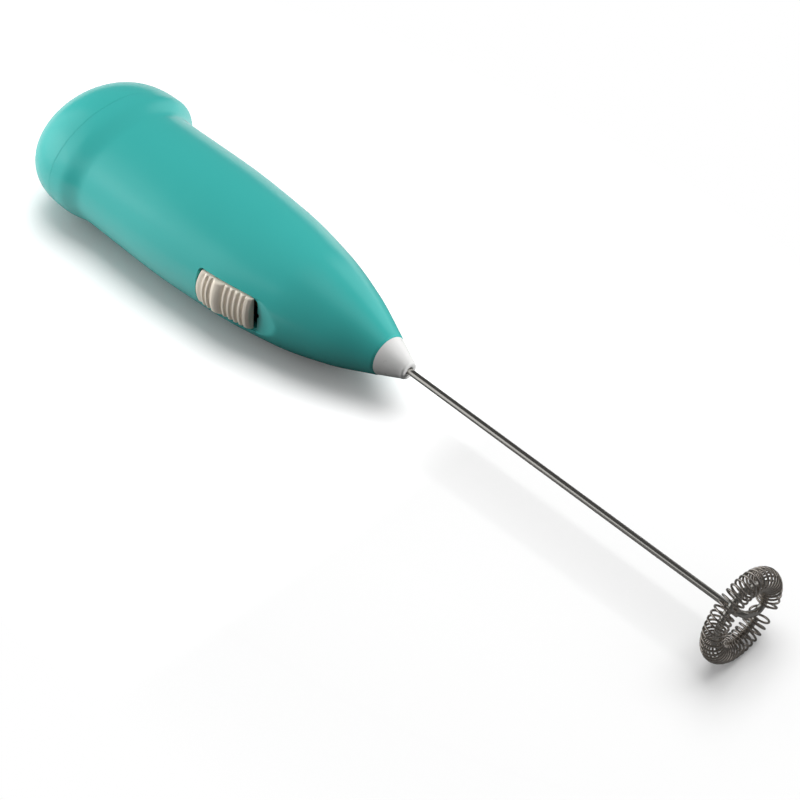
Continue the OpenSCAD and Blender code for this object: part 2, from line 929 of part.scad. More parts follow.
// From the motor contact's tab, back along the board, to the motor's near terminal.
module lead_red() {
    y = contact_face_y - lead_r;
    laid()
        color(red_pvc)
            bent_wire([
                switch_point([77.9, y, 3.9]),
                switch_point([lead_x, y, 3.9]),
                [lead_x, -terminal_y - 0.55, 0.6]
            ], lead_r);
}

// From the negative plate, through the bulkhead, to the motor's far terminal.
module lead_black() {
    laid()
        color(black_pvc)
            bent_wire([[bulkhead_x0, 3.2, 5], [lead_x, 3.2, 5], [lead_x, terminal_y + 0.56, 0.9]], lead_r);
}

// ---- motor, turning pieces -----------------------------------------------------------------------------

module motor_shaft() {
    laid()
        color(steel)
            bar(motor_x0, shaft_x1, shaft_r);
}

// One pole of the armature: a stem and a curved shoe, pointing along +z.
module pole() {
    intersection() {
        circle(r = core_r, $fn = 64);
        union() {
            translate([-1.2, 0])
                square([2.4, 10]);
            difference() {
                polygon([[0, 0], [-5.6, 8], [5.6, 8]]);
                circle(r = core_r - 1.3, $fn = 64);
            }
        }
    }
}

module armature_core() {
    laid()
        color(core_steel)
            along_x(core_x0, core_x1 - core_x0)
                difference() {
                    union() {
                        circle(r = 2.3);
                        for (a = [0, 120, 240])
                            rotate(a)
                                pole();
                    }
                    circle(r = shaft_r);
                }
}

// A coil round each pole's stem, standing a little past both ends of the core.
module armature_windings() {
    laid()
        color(copper)
            for (a = [0, 120, 240])
                rotate([a, 0, 0])
                    difference() {
                        block([core_x0 - 1.4, -2.3, 2.55], [core_x1 + 1.4, 2.3, 4.4]);
                        block([core_x0, -1.2, 0], [core_x1, 1.2, 9]);
                    }
}

module commutator() {
    laid()
        color(copper)
            difference() {
                bar(can_x0 + 1.9, core_x0 - 1.5, commutator_r);
                bar(can_x0, core_x0, shaft_r);
                for (a = [30, 150, 270])
                    rotate([a, 0, 0])
                        block([can_x0, -0.15, commutator_r - 0.5], [core_x0 - 2, 0.15, commutator_r + 1]);
            }
}

coupling_x0 = 90;
coupling_x1 = 102;

// Nylon sleeve pressed on the motor's shaft at one end and the rod at the other.
module shaft_coupling() {
    laid()
        color(nylon)
            difference() {
                union() {
                    bar(coupling_x0, coupling_x1, 2.4);
                    bar(coupling_x0, coupling_x0 + 1, 3.2);
                }
                bar(coupling_x0 - 1, shaft_x1, shaft_r);
                bar(shaft_x1 - 1, coupling_x1 + 1, rod_d / 2);
            }
}

// ---- whisk ---------------------------------------------------------------------------------------------

rod_r = rod_d / 2;
coil_wire_r = coil_wire_d / 2;
coil_mean_r = coil_d / 2 - coil_wire_r;
// The coil hangs on the core's inner side.
core_ring_r = ring_r - (coil_mean_r - coil_wire_r - rod_r) + 0.02;
bend_r = 2;
leg_angle = -36;             // where the leg meets the ring, from +Y towards +Z
elbow_u = sqrt(pow(core_ring_r - bend_r, 2) - bend_r * bend_r);
elbow_sweep = atan2(bend_r, elbow_u);

// An arc of round wire in the ring's plane, from angle a0 through sweep, about the point (u, v).
module wire_arc(u, v, radius, a0, sweep) {
    translate([u, v, 0])
        rotate([0, 0, a0])
            rotate_extrude(angle = sweep, $fn = 96)
                translate([radius, 0])
                    circle(r = rod_r, $fn = 24);
}

// The ring's plane, with u along the leg and the plane's normal along the rod.
module in_ring_plane() {
    translate([ring_x, 0, 0])
        rotate([leg_angle, 0, 0])
            rotate([90, 0, 90])
                children();
}

// One wire: the rod, a bend into the leg, an elbow into the ring, and almost a full turn.
module whisk_shaft() {
    laid()
        color(steel) {
            bar(shaft_x1, ring_x - bend_r, rod_r);
            in_ring_plane() {
                translate([bend_r, 0, -bend_r])
                    rotate([90, 0, 180])
                        rotate_extrude(angle = 90, $fn = 96)
                            translate([bend_r, 0])
                                circle(r = rod_r, $fn = 24);
                translate([bend_r, 0, 0])
                    rotate([0, 90, 0])
                        cylinder(h = elbow_u - bend_r, r = rod_r, $fn = 24);
                wire_arc(elbow_u, bend_r, bend_r, -90, 87 + elbow_sweep);
                wire_arc(0, 0, core_ring_r, elbow_sweep + 1, 330);
                // a ball, hardly thicker than the wire, joins the elbow to the ring
                rotate([0, 0, elbow_sweep])
                    translate([core_ring_r, 0, 0])
                        sphere(rod_r + 0.02);
            }
        }
}

coil_start = 19;
coil_sweep = 337;

// The coil spring, wound round the core wire with a gap where the leg comes in.
module whisk_coil() {
    per_turn = 8;
    steps = coil_turns * per_turn;
    points = [
        for (i = [0:steps])
            let (
                around = coil_start + coil_sweep * i / steps,
                a = 360 * i / per_turn,
                out = ring_r + coil_mean_r * cos(a)
            )
            [out * cos(around), out * sin(around), coil_mean_r * sin(a)]
    ];
    normals = [
        for (i = [0:steps])
            let (around = coil_start + coil_sweep * i / steps, a = 360 * i / per_turn)
            [cos(a) * cos(around), cos(a) * sin(around), sin(a)]
    ];
    laid()
        color(spring_steel)
            in_ring_plane()
                wire(points, normals, coil_wire_r, 5);
}

// ---- nodes ---------------------------------------------------------------------------------------------

handle_shell();
battery_cover();
nose_cone();
switch_slide();
slide_contact();
switch_board();
supply_contact();
motor_contact();
contact_bulkhead();
positive_plate();
negative_plate();
negative_spring();
bridge_plate();
bridge_spring();
battery_1();
battery_2();
motor_can();
motor_magnets();
motor_end_cap();
motor_terminals();
motor_brushes();
rear_bush();
front_bush();
lead_red();
lead_black();
motor_shaft();
armature_core();
armature_windings();
commutator();
shaft_coupling();
whisk_shaft();
whisk_coil();
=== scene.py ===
import json
import math

import bmesh
import bpy
import numpy as np
from mathutils import Matrix, Vector


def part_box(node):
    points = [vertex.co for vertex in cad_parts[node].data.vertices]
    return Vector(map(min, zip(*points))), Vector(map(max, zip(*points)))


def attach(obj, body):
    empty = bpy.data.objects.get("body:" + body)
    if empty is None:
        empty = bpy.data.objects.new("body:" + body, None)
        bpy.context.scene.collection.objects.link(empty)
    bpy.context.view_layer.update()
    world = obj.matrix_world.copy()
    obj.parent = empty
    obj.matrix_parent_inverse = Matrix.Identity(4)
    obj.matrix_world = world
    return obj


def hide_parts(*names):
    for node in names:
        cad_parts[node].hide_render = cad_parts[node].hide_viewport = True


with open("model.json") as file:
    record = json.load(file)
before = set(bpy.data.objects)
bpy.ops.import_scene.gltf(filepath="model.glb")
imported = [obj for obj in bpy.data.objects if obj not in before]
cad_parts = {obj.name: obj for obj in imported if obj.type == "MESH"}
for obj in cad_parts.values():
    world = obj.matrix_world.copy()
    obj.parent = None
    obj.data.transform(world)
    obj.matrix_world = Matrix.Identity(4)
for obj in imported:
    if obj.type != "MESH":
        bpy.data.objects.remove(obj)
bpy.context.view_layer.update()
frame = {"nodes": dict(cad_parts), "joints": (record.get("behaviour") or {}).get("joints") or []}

# The pieces and the camera are drawn in millimetres about the rod's axis, with x from the pommel's end
# towards the whisk and the thumb slide facing -y. LAID puts them on the table, in metres, as the frame
# holds them. The lamps and the table are drawn in metres.
MM = 0.001
spin = next(j for j in frame["joints"] if j["name"] == "whisk_spin")
rod_axis = Vector(spin["axis"]).normalized()
pommel_end = Vector(spin["pos_m"])
lean = math.atan2(-rod_axis.z, rod_axis.x)
LAID = Matrix.Translation(pommel_end) @ Matrix.Rotation(lean, 4, "Y") @ Matrix.Scale(MM, 4)


def add_object(name, data):
    """A new object in the scene."""
    made = bpy.data.objects.new(name, data)
    bpy.context.scene.collection.objects.link(made)
    return made


# ---- the handle's form: ellipses along the rod's axis ----

HANDLE_LENGTH = 109.3
POMMEL_DEPTH = 18.0
DOME_DEPTH = 19.2  # the dome would close here, but a flat ends it at the pommel's depth
DOME_POWER = 2.8
WALL = 1.4

# The form's rows: where each stands, and the handle's half width, half height and sideways shift there.
FORM_X = np.array([18.0, 25.03, 45.91, 67.0, 83.94, 97.5, 109.3])
FORM_HALF_WIDTH = np.array([20.0, 17.4, 17.6, 16.5, 13.6, 9.7, 4.85])
FORM_HALF_HEIGHT = np.array([14.0, 13.3, 13.4, 12.9, 12.0, 9.1, 4.85])
FORM_SHIFT = np.array([1.3, 0.0, 0.0, 0.0, 0.0, 0.0, 0.0])


def along(x, rows):
    """Smooth curve through the form's rows: level where it turns, else the harmonic mean of its slopes."""
    rise = np.diff(rows) / np.diff(FORM_X)
    before, after = rise[:-1], rise[1:]
    turns = before * after <= 0
    mean = np.where(turns, 0.0, 2 * before * after / np.where(turns, 1.0, before + after))
    slopes = np.concatenate([[0.0], mean, [rise[-1]]])
    x = np.clip(x, FORM_X[0], FORM_X[-1])
    i = np.clip(np.searchsorted(FORM_X, x, side="right") - 1, 0, len(FORM_X) - 2)
    run = FORM_X[i + 1] - FORM_X[i]
    t = (x - FORM_X[i]) / run
    return (
        rows[i] * (1 - 3 * t**2 + 2 * t**3)
        + rows[i + 1] * (3 * t**2 - 2 * t**3)
        + run * slopes[i] * (t - 2 * t**2 + t**3)
        + run * slopes[i + 1] * (t**3 - t**2)
    )


def section(x, inset):
    """Half width, half height and sideways shift of the handle at x, for a surface inset inside it."""
    depth = np.clip((POMMEL_DEPTH - x) / (DOME_DEPTH - inset), 0, 1)
    dome = np.sqrt(1 - depth**DOME_POWER)
    width = (along(x, FORM_HALF_WIDTH) - inset) * dome
    height = (along(x, FORM_HALF_HEIGHT) - inset) * dome
    return width, height, along(x, FORM_SHIFT)


# ---- seams, pocket and grooves ----

CAP_SEAM_X = 15.0  # the end cap meets the shell here
COVER_END_X = 62.0  # and the cover's tongue ends here
SEAM_Z = -4.5  # level of the long seams
SEAM_GAP = 0.03
SEAM_ROLL = 0.02  # how deep, and how wide, the edges at a seam are rounded
SEAM_ROLL_WIDTH = 0.05
SEAM_LINES = (0.015, 0.045, 0.08, 0.13)  # grid lines stand this far to each side of the gap's middle
NO_SEAM = 99.0  # distance where a seam doesn't run
NOSE_ROLL = 0.3  # depth and width of the rounding where the shell meets the nose
NOSE_ROLL_WIDTH = 0.6
ROLL_LIMIT = 1.6  # past its edge a roll goes on, up to this many widths from its start

SWITCH_TILT = math.radians(5)  # the switch is turned this far about the rod's axis
TILT_COS, TILT_SIN = math.cos(SWITCH_TILT), math.sin(SWITCH_TILT)
SLIDE_X0 = 65.0
SLIDE_LENGTH = 15.2
SLIDE_HALF = 4.2
FLAT = 12.9  # distance of the pocket's floor from the rod's axis
PAD = 11.4  # and of the inner face behind it
PAD_X0, PAD_X1 = 63.6, 90.0
POCKET_X = SLIDE_X0 - 0.2
POCKET_HALF = SLIDE_HALF + 0.35
POCKET_CORNER = 0.8
POCKET_RIM_LINES = (0.015, 0.05, 0.1, 0.16)  # as SEAM_LINES, to each side of the rim
LIP = 0.14  # rounding of the pocket's rim
FOOT = 0.14  # and of the corner at its floor
RUN_OUT = 0.06  # softness of the edge where the floor runs out through the handle's side
SLOT_X0, SLOT_X1 = 68.2, 81.3  # the slide's neck runs in this slot
SLOT_HALF = 3.9
SLOT_CORNER = 0.7
NOTCH_X0, NOTCH_X1 = 79.8, 81.8  # and this small notch opens its nose end
NOTCH_HALF = 0.6
NOTCH_CORNER = 0.4
GROOVE_X0, GROOVE_STEP, GROOVES = 45.0, 2.6, 5
GROOVE_R, GROOVE_RISE = 1.1, 0.55
GROOVE_REACH = 5  # half length of the middle groove; each one further out is 1 shorter


def to_switch(y, z):
    """y and z as seen from the switch's own, tilted place."""
    return y * TILT_COS - z * TILT_SIN, z * TILT_COS + y * TILT_SIN


def from_switch(y, z):
    """And back again."""
    return y * TILT_COS + z * TILT_SIN, z * TILT_COS - y * TILT_SIN


def rounded_box(x, z, x0, x1, half, corner):
    """Distance outside a flat outline with rounded corners, from x0 to x1 and half to each side of z = 0."""
    past_x = np.maximum(x0 + corner - x, x - x1 + corner)
    past_z = np.abs(z) - half + corner
    outside = np.hypot(np.maximum(past_x, 0), np.maximum(past_z, 0))
    return outside + np.minimum(np.maximum(past_x, past_z), 0) - corner


def rolled(distance, depth, width):
    """How far a surface rounds in at that distance from its edge."""
    return depth * np.clip(1 - distance / width, 0, ROLL_LIMIT) ** 2


def seam_distance(x, z):
    """Distance from the edge of the gap between shell and cover."""
    half = SEAM_GAP / 2
    ring = np.abs(x - (CAP_SEAM_X - half)) - half
    on_side = (x > CAP_SEAM_X - SEAM_GAP) & (x < COVER_END_X + half)
    side = np.where(on_side, np.abs(z - (SEAM_Z - half)) - half, NO_SEAM)
    front = np.where(z < SEAM_Z, np.abs(x - (COVER_END_X - half)) - half, NO_SEAM)
    return np.minimum(np.minimum(ring, side), front)


def pocket_depth(x, y_edge, z):
    """Distance of the surface from the axis where the slide's pocket is cut in the handle's edge."""
    rise = np.maximum(y_edge - FLAT, 0)
    outside = rounded_box(x, z, POCKET_X, HANDLE_LENGTH, POCKET_HALF, POCKET_CORNER)
    lip = y_edge - rolled(np.maximum(outside, 0), np.minimum(LIP, rise), LIP)
    floor = FLAT + rolled(np.maximum(-outside, 0), np.minimum(FOOT, rise), FOOT)
    deeper = np.clip((floor - y_edge) / RUN_OUT, -40, 40)  # small enough for exp
    return np.where(outside > 0, lip, floor - RUN_OUT * np.log1p(np.exp(deeper)))


def groove_depth(x, y):
    """Depth of the thumb grooves under the cover's tongue."""
    depth = np.zeros_like(x)
    for k in range(GROOVES):
        across = x - (GROOVE_X0 + GROOVE_STEP * k)
        past_end = np.maximum(np.abs(y) - (GROOVE_REACH - abs(k - GROOVES // 2)), 0)
        cut = np.sqrt(np.maximum(GROOVE_R**2 - across**2 - past_end**2, 0)) - GROOVE_RISE
        depth = np.maximum(depth, cut)
    return depth


def skin_point(x, phi):
    """The handle's outer surface. phi turns from the slide's side, 0, over the top, 90 degrees."""
    width, height, shift = section(x, 0.0)
    z = height * np.sin(phi)
    seam = rolled(seam_distance(x, z), SEAM_ROLL, SEAM_ROLL_WIDTH)
    nose = rolled(HANDLE_LENGTH - x, NOSE_ROLL, NOSE_ROLL_WIDTH)
    y = -(width - seam - nose) * np.cos(phi) + shift
    z = (height - seam - nose) * np.sin(phi)
    across, level = to_switch(y, z)
    cut_y, cut_z = from_switch(-pocket_depth(x, -across, level), level)
    cut = (np.cos(phi) > 0) & (x > POCKET_X - 1) & (x < PAD_X1)
    y, z = np.where(cut, cut_y, y), np.where(cut, cut_z, z)
    under = (np.sin(phi) < -0.5) & (x > GROOVE_X0 - 2) & (x < GROOVE_X0 + GROOVES * GROOVE_STEP)
    z = z + np.where(under, groove_depth(x, y), 0.0)
    return np.stack([x, y, z], axis=-1)


NOSE_SEAT_X = HANDLE_LENGTH - 2.5
NOSE_SEAT_R = 3.5
SLOT_SQUARE = POCKET_HALF + 1.6  # up to this level the lining's lines stand square to the slide,
SLOT_SQUARE_FADE = 0.8  # and over the last of it they lean back to their own place
END_RING = 0.2  # the smallest ring on the lining's flat end, as a share of the largest


def lining_point(x, phi):
    """The handle's inner surface, with a flat pad behind the slide and a seat for the nose cone."""
    inner_x = np.clip(x, WALL, None)
    width, height, shift = section(inner_x, WALL)
    y = -width * np.cos(phi) + shift
    z = height * np.sin(phi)
    across, level = to_switch(y, z)
    _, skin_level = to_switch(-section(x, 0.0)[0] * np.cos(phi), section(x, 0.0)[1] * np.sin(phi))
    upright = np.clip((SLOT_SQUARE - np.abs(skin_level)) / SLOT_SQUARE_FADE, 0, 1)
    pad = (np.cos(phi) > 0) & (x > PAD_X0) & (x < PAD_X1) & (upright > 0)
    pad_y, pad_z = from_switch(np.maximum(across, -PAD), level + (skin_level - level) * upright)
    y, z = np.where(pad, pad_y, y), np.where(pad, pad_z, z)
    seat = x > NOSE_SEAT_X
    y = np.where(seat, -NOSE_SEAT_R * np.cos(phi), y)
    z = np.where(seat, NOSE_SEAT_R * np.sin(phi), z)
    on_end = END_RING + (1 - END_RING) * np.clip(x / WALL, 0, 1)
    return np.stack([inner_x, FORM_SHIFT[0] * (1 - on_end) + y * on_end, z * on_end], axis=-1)


# ---- the grid both halves of the handle are cut from ----

DOME_RINGS = 26
DOME_CROWDING = 1.6  # the rings crowd towards the pommel's end by this power
RING_STRETCHES = (  # start, end and step, where nothing small stands
    (15.5, 30, 0.7), (31, 43, 1.2), (43.6, 57, 0.3), (58, 61.4, 1.0),
    (66, 80, 0.6), (82, 90, 0.4), (91, 107.5, 0.9),
)
GRIP_X0, GRIP_X1 = CAP_SEAM_X - 1, 88.0  # the grid's lines keep their level between these
ARC_LINES = 42  # over the top, and as many below


def both_sides(edge, *offsets):
    return [edge - d for d in offsets] + [edge + d for d in offsets]


def spaced(low, high, step):
    count = max(1, round((high - low) / step))
    return list(np.linspace(low, high, count + 1))


def sorted_lines(values, closest=0.02):
    """Sorted grid lines, with those that nearly coincide dropped."""
    kept = []
    for v in sorted(values):
        if not kept or v - kept[-1] >= closest:
            kept.append(float(v))
    return np.array(kept)


def handle_stations():
    """Positions of the grid's rings along the rod's axis."""
    rings = [CAP_SEAM_X * (k / DOME_RINGS) ** DOME_CROWDING for k in range(DOME_RINGS)]
    for seam_x in (CAP_SEAM_X, COVER_END_X):
        rings += both_sides(seam_x - SEAM_GAP / 2, *SEAM_LINES)
    rings += both_sides(POCKET_X, *POCKET_RIM_LINES) + spaced(POCKET_X + 0.2, POCKET_X + 1, 0.1)
    rings += spaced(SLOT_X0, SLOT_X0 + 0.6, 0.2) + spaced(80.2, NOTCH_X1, 0.08) + [SLOT_X1]
    for start, end, step in RING_STRETCHES:
        rings += spaced(start, end, step)
    rings += both_sides(PAD_X0, 0.02) + both_sides(NOSE_SEAT_X, 0.02)
    return sorted_lines(rings + [HANDLE_LENGTH - d for d in (1.3, 0.9, 0.6, 0.4, 0.25, 0.12, 0.04, 0.0)])


def handle_lines():
    """Levels of the grid's lines: round the seam, in the switch's tilted place, and on the other side."""
    seam = both_sides(SEAM_Z - SEAM_GAP / 2, *SEAM_LINES)
    half = spaced(NOTCH_HALF - 0.24, NOTCH_HALF, 0.08) + spaced(SLOT_HALF - 0.7, POCKET_HALF - 0.2, 0.09)
    half += both_sides(POCKET_HALF, *POCKET_RIM_LINES) + [POCKET_HALF + 0.25]
    below = sorted_lines(seam + spaced(-9, -5, 0.6))
    tilted = sorted_lines(half + [-h for h in half] + spaced(-3, 3, 0.5) + spaced(5.2, 9, 0.6))
    far_side = sorted_lines(seam + spaced(-9, 9, 0.9))
    return below, tilted, far_side


def level_scale(x):
    """The lines keep their level along the grip, and draw in with the handle towards its ends."""
    height, first, last = (section(at, 0.0)[1] for at in (x, GRIP_X0, GRIP_X1))
    return np.where(x < GRIP_X0, height / first, np.where(x > GRIP_X1, height / last, 1.0))


def handle_grid():
    """Ring positions and, for each ring, the angle of every line round it."""
    x = handle_stations()
    below, tilted, far_side = handle_lines()
    width, height = (half[:, None] for half in section(x, 0.0)[:2])
    scale = level_scale(x)[:, None]
    lean_y, lean_z = width * TILT_SIN, height * TILT_COS
    tilted_angle = np.arctan2(lean_y, lean_z) + np.arcsin(tilted[None, :] * scale / np.hypot(lean_y, lean_z))
    near = np.concatenate([np.arcsin(below[None, :] * scale / height), tilted_angle], axis=1)
    far = math.pi - np.arcsin(far_side[::-1][None, :] * scale / height)
    arc = np.linspace(0, 1, ARC_LINES + 2)[1:-1][None, :]
    top = near[:, -1:] + (far[:, :1] - near[:, -1:]) * arc
    bottom = far[:, -1:] + (near[:, :1] + 2 * math.pi - far[:, -1:]) * arc
    return x, np.concatenate([near, top, far, bottom], axis=1)


def in_cover(x, z):
    """True where the skin belongs to the cover, and not to the shell."""
    half = SEAM_GAP / 2
    return (x < CAP_SEAM_X - half) | ((x < COVER_END_X - half) & (z < SEAM_Z - half))


def in_slot(x, y, z):
    """True inside the slot that the slide's neck runs in, and inside its small notch."""
    level = to_switch(y, z)[1]
    slot = rounded_box(x, level, SLOT_X0, SLOT_X1, SLOT_HALF, SLOT_CORNER)
    notch = rounded_box(x, level, NOTCH_X0, NOTCH_X1, NOTCH_HALF, NOTCH_CORNER)
    return (y < 0) & (np.minimum(slot, notch) < 0)


def handle_half(name, wants_cover):
    """The cover or the shell: one closed moulding between the handle's skin and its lining."""
    stations, angles = handle_grid()
    lines = angles.shape[1]
    x = np.repeat(stations[:, None], lines, axis=1)
    skin = skin_point(x, angles)
    step, turn = 0.008, 0.0008
    slope_x = skin_point(x + step, angles) - skin_point(x - step, angles)
    slope_phi = skin_point(x, angles + turn) - skin_point(x, angles - turn)

    after = (np.arange(lines) + 1) % lines
    level = section(x, 0.0)[1] * np.sin(angles)
    middle_x = (x[:-1] + x[1:]) / 2
    middle_z = (level[:-1] + level[1:, after]) / 2
    middle_skin = (skin[:-1] + skin[1:, after]) / 2
    keep = in_cover(middle_x, middle_z) == wants_cover
    keep &= seam_distance(middle_x, middle_z) > -SEAM_GAP / 4
    keep &= ~in_slot(middle_x, middle_skin[..., 1], middle_skin[..., 2])
    return solid_between(
        name, skin, lining_point(x, angles), keep, wrap=True, close_start=wants_cover,
        normals=np.cross(slope_x, slope_phi), walls=pocket_walls(skin, after),
    )


def pocket_walls(skin, after):
    """Cells that stand on edge round the slide's pocket. They are shaded flat."""
    def on_edge(depth, run):
        return (np.abs(depth) > 4 * np.abs(run)) & (np.abs(depth) > 0.08)

    x = skin[..., 0]
    y, z = to_switch(skin[..., 1], skin[..., 2])
    steep = on_edge(y[:-1, after] - y[:-1], z[:-1, after] - z[:-1]) | on_edge(y[1:] - y[:-1], x[1:] - x[:-1])
    beside = (x > POCKET_X - 1) & (x < PAD_X1) & (y < 1.5 - FLAT) & (np.abs(z) < POCKET_HALF + 1)
    return steep & beside[:-1]


# ---- meshes ----

def mesh_piece(name, points, faces, corner_normals=None, crease=30):
    """A mesh in the frame's place. Points that no face uses are dropped. corner_normals gives each face the
    normals of its corners, or None where it is flat. Without it, edges over crease degrees stay sharp."""
    points = np.asarray(points, float)
    used = np.unique(np.concatenate([np.asarray(face) for face in faces]))
    index = np.full(len(points), -1)
    index[used] = np.arange(len(used))
    laid = np.array(LAID)
    placed = points[used] @ laid[:3, :3].T + laid[:3, 3]
    mesh = bpy.data.meshes.new(name)
    mesh.from_pydata(placed.tolist(), [], [[int(index[v]) for v in face] for face in faces])
    mesh.update()
    mesh.polygons.foreach_set("use_smooth", [True] * len(mesh.polygons))
    if corner_normals:
        turn = laid[:3, :3] / MM
        shading = []
        for polygon, normals in zip(mesh.polygons, corner_normals):
            if normals is None:
                shading += [polygon.normal] * polygon.loop_total
            else:
                shading += [tuple(turn @ n) for n in normals]
        mesh.normals_split_custom_set(shading)
    else:
        mesh.set_sharp_from_angle(angle=math.radians(crease))
    return add_object(name, mesh)


def solid_between(name, outer, inner, keep=None, wrap=False, close_start=False, normals=None, walls=None):
    """A closed solid between two grids of points, over the cells that keep picks. Rims are shaded flat."""
    rows, cols = outer.shape[:2]
    if keep is None:
        keep = np.ones((rows - 1, cols - 1), bool)
    points = np.concatenate([outer.reshape(-1, 3), inner.reshape(-1, 3)])
    under = rows * cols
    faces, corner_normals = [], []
    if normals is not None:
        normals = normals / np.maximum(np.linalg.norm(normals, axis=2, keepdims=True), 1e-12)

    def add(face, shading=None):
        faces.append(face)
        corner_normals.append(shading)

    width = keep.shape[1]
    for i, j in np.argwhere(keep):
        k = (j + 1) % cols
        a, b, c, d = i * cols + j, i * cols + k, (i + 1) * cols + k, (i + 1) * cols + j
        smooth = normals is not None and not (walls is not None and walls[i, j])
        shading = [normals[i, j], normals[i + 1, j], normals[i + 1, k], normals[i, k]] if smooth else None
        add([a, d, c, b], shading)
        add([under + a, under + b, under + c, under + d])
        if (i > 0 or not close_start) and not (i > 0 and keep[i - 1, j]):
            add([a, b, under + b, under + a])
        if not (i < rows - 2 and keep[i + 1, j]):
            add([d, under + d, under + c, c])
        if not keep[i, (j - 1) % width] or (j == 0 and not wrap):
            add([a, under + a, under + d, d])
        if not keep[i, (j + 1) % width] or (j == width - 1 and not wrap):
            add([b, c, under + c, under + b])
    if close_start:
        centres = [outer[0].mean(axis=0), inner[0].mean(axis=0)]
        points = np.concatenate([points, centres])
        for j in range(cols):
            k = (j + 1) % cols
            add([2 * under, j, k])
            add([2 * under + 1, under + k, under + j])
    return mesh_piece(name, points, faces, corner_normals if normals is not None else None)


def lathe(name, profile):
    """A solid of revolution about the rod's axis. profile runs round a closed outline of (x, radius)."""
    sides = 96
    turn = np.arange(sides) * 2 * math.pi / sides
    rings = [
        np.stack([np.full(sides, x), -r * np.cos(turn), r * np.sin(turn)], axis=1) for x, r in profile
    ]
    count = len(rings)
    faces = []
    for i in range(count):
        for k in range(sides):
            n = (k + 1) % sides
            a, b = i * sides, ((i + 1) % count) * sides
            faces.append([a + k, b + k, b + n, a + n])
    return mesh_piece(name, np.concatenate(rings), faces, crease=25)


def add_part(points, faces, part):
    """Adds a bmesh to a mesh's points and faces, and frees it."""
    start = len(points)
    part.verts.index_update()
    points.extend(tuple(v.co) for v in part.verts)
    faces.extend([start + v.index for v in face.verts] for face in part.faces)
    part.free()


def add_block(points, faces, low, high, bevel):
    """A box with chamfered edges, added to a mesh's points and faces."""
    block = bmesh.new()
    bmesh.ops.create_cube(block, size=1)
    low, high = Vector(low), Vector(high)
    for v in block.verts:
        v.co = Vector(((low[i] + high[i]) / 2 + v.co[i] * (high[i] - low[i]) for i in range(3)))
    bmesh.ops.bevel(block, geom=block.edges[:], offset=bevel, segments=2, profile=0.5, affect="EDGES")
    add_part(points, faces, block)


def add_plate(points, faces, outline, x0, x1):
    """A flat plate across the handle, from x0 to x1, with an outline of (y, z) points."""
    start, count = len(points), len(outline)
    points.extend((x, y, z) for x in (x0, x1) for y, z in outline)
    faces.append([start + k for k in range(count)])
    faces.append([start + count + k for k in reversed(range(count))])
    for k in range(count):
        n = (k + 1) % count
        faces.append([start + k, start + count + k, start + count + n, start + n])


# ---- the battery cover's fittings ----

def spigot():
    """The band inside the end cap's mouth, which centres it in the shell."""
    x = np.array([12.5, 13.5, 14.9, 14.95, 15.6, 16.4, 17.2, 17.4])
    phi = np.radians(np.linspace(-10.5, 190.5, 90))
    grid_x, grid_phi = np.meshgrid(x, phi, indexing="ij")

    def band(inset):
        width, height, shift = section(grid_x, inset)
        return np.stack([grid_x, -width * np.cos(grid_phi) + shift, height * np.sin(grid_phi)], axis=-1)

    # Sunk in the cap's wall, then just clear of the shell's, with its leading edge turned in.
    outside = np.where(grid_x < CAP_SEAM_X - 0.08, WALL - 0.3, WALL + 0.15)
    outside += 0.2 * np.clip(grid_x - 16.9, 0, 1)
    return solid_between("cover_spigot", band(outside), band(WALL + 0.95))


POST_Y, POST_Z = 10.5, 3.6  # the posts' ends, at the bridge plate
POST_SIDES = 20
RAIL_Y0, RAIL_Y1, BEAD_Y1 = 13.85, 14.55, 15.05


def add_post(points, faces, y, z):
    """A round post that leans outwards from the end cap to the bridge plate."""
    post = bmesh.new()
    for x, across, radius in ((0.8, 0.6 * y, 1.0), (1.8, 0.6 * y, 1.0), (4.0, y, 0.9), (4.94, y, 0.9)):
        for k in range(POST_SIDES):
            turn = 2 * math.pi * k / POST_SIDES
            post.verts.new((x, across + radius * math.cos(turn), z + radius * math.sin(turn)))
    hull = bmesh.ops.convex_hull(post, input=post.verts[:])
    unused = {v for v in hull["geom_interior"] + hull["geom_unused"] if isinstance(v, bmesh.types.BMVert)}
    bmesh.ops.delete(post, geom=list(unused), context="VERTS")
    add_part(points, faces, post)


def cover_fittings():
    """Rails with their beads, the front hook and the posts behind the bridge plate."""
    points, faces = [], []
    for side in (-1, 1):
        web = sorted([side * RAIL_Y0, side * RAIL_Y1])
        bead = sorted([side * RAIL_Y0, side * BEAD_Y1])
        add_block(points, faces, (13, web[0], -5.9), (50, web[1], -3.3), 0.12)
        add_block(points, faces, (13, bead[0], -3.4), (50, bead[1], -2.8), 0.15)
        for z in (-POST_Z, POST_Z):
            add_post(points, faces, side * POST_Y, z)
    hook_z = -along(COVER_END_X + 3, FORM_HALF_HEIGHT) + WALL + 0.35
    add_block(points, faces, (COVER_END_X - 6, -2.5, hook_z), (COVER_END_X + 3, 2.5, hook_z + 0.8), 0.3)
    add_block(points, faces, (COVER_END_X - 6, -2.5, hook_z - 1), (COVER_END_X - 2, 2.5, hook_z + 0.5), 0.15)
    return mesh_piece("cover_fittings", points, faces, crease=35)


# ---- inside the shell ----

CAN_R, CAN_HALF_W = 10.0, 7.5  # of the motor, which has two flats
RIBS = (71.0, 82.0)
RIB_THICKNESS = 1.4
RIB_STEPS = 72
RIB_CLEARANCE = 0.1
LEDGE_X0, LEDGE_X1 = 61.72, 62.5


def wall_point(x, phi):
    """A point in the middle of the shell's wall."""
    width, height, shift = section(x, WALL / 2)
    return float(shift - width * math.cos(phi)), float(height * math.sin(phi))


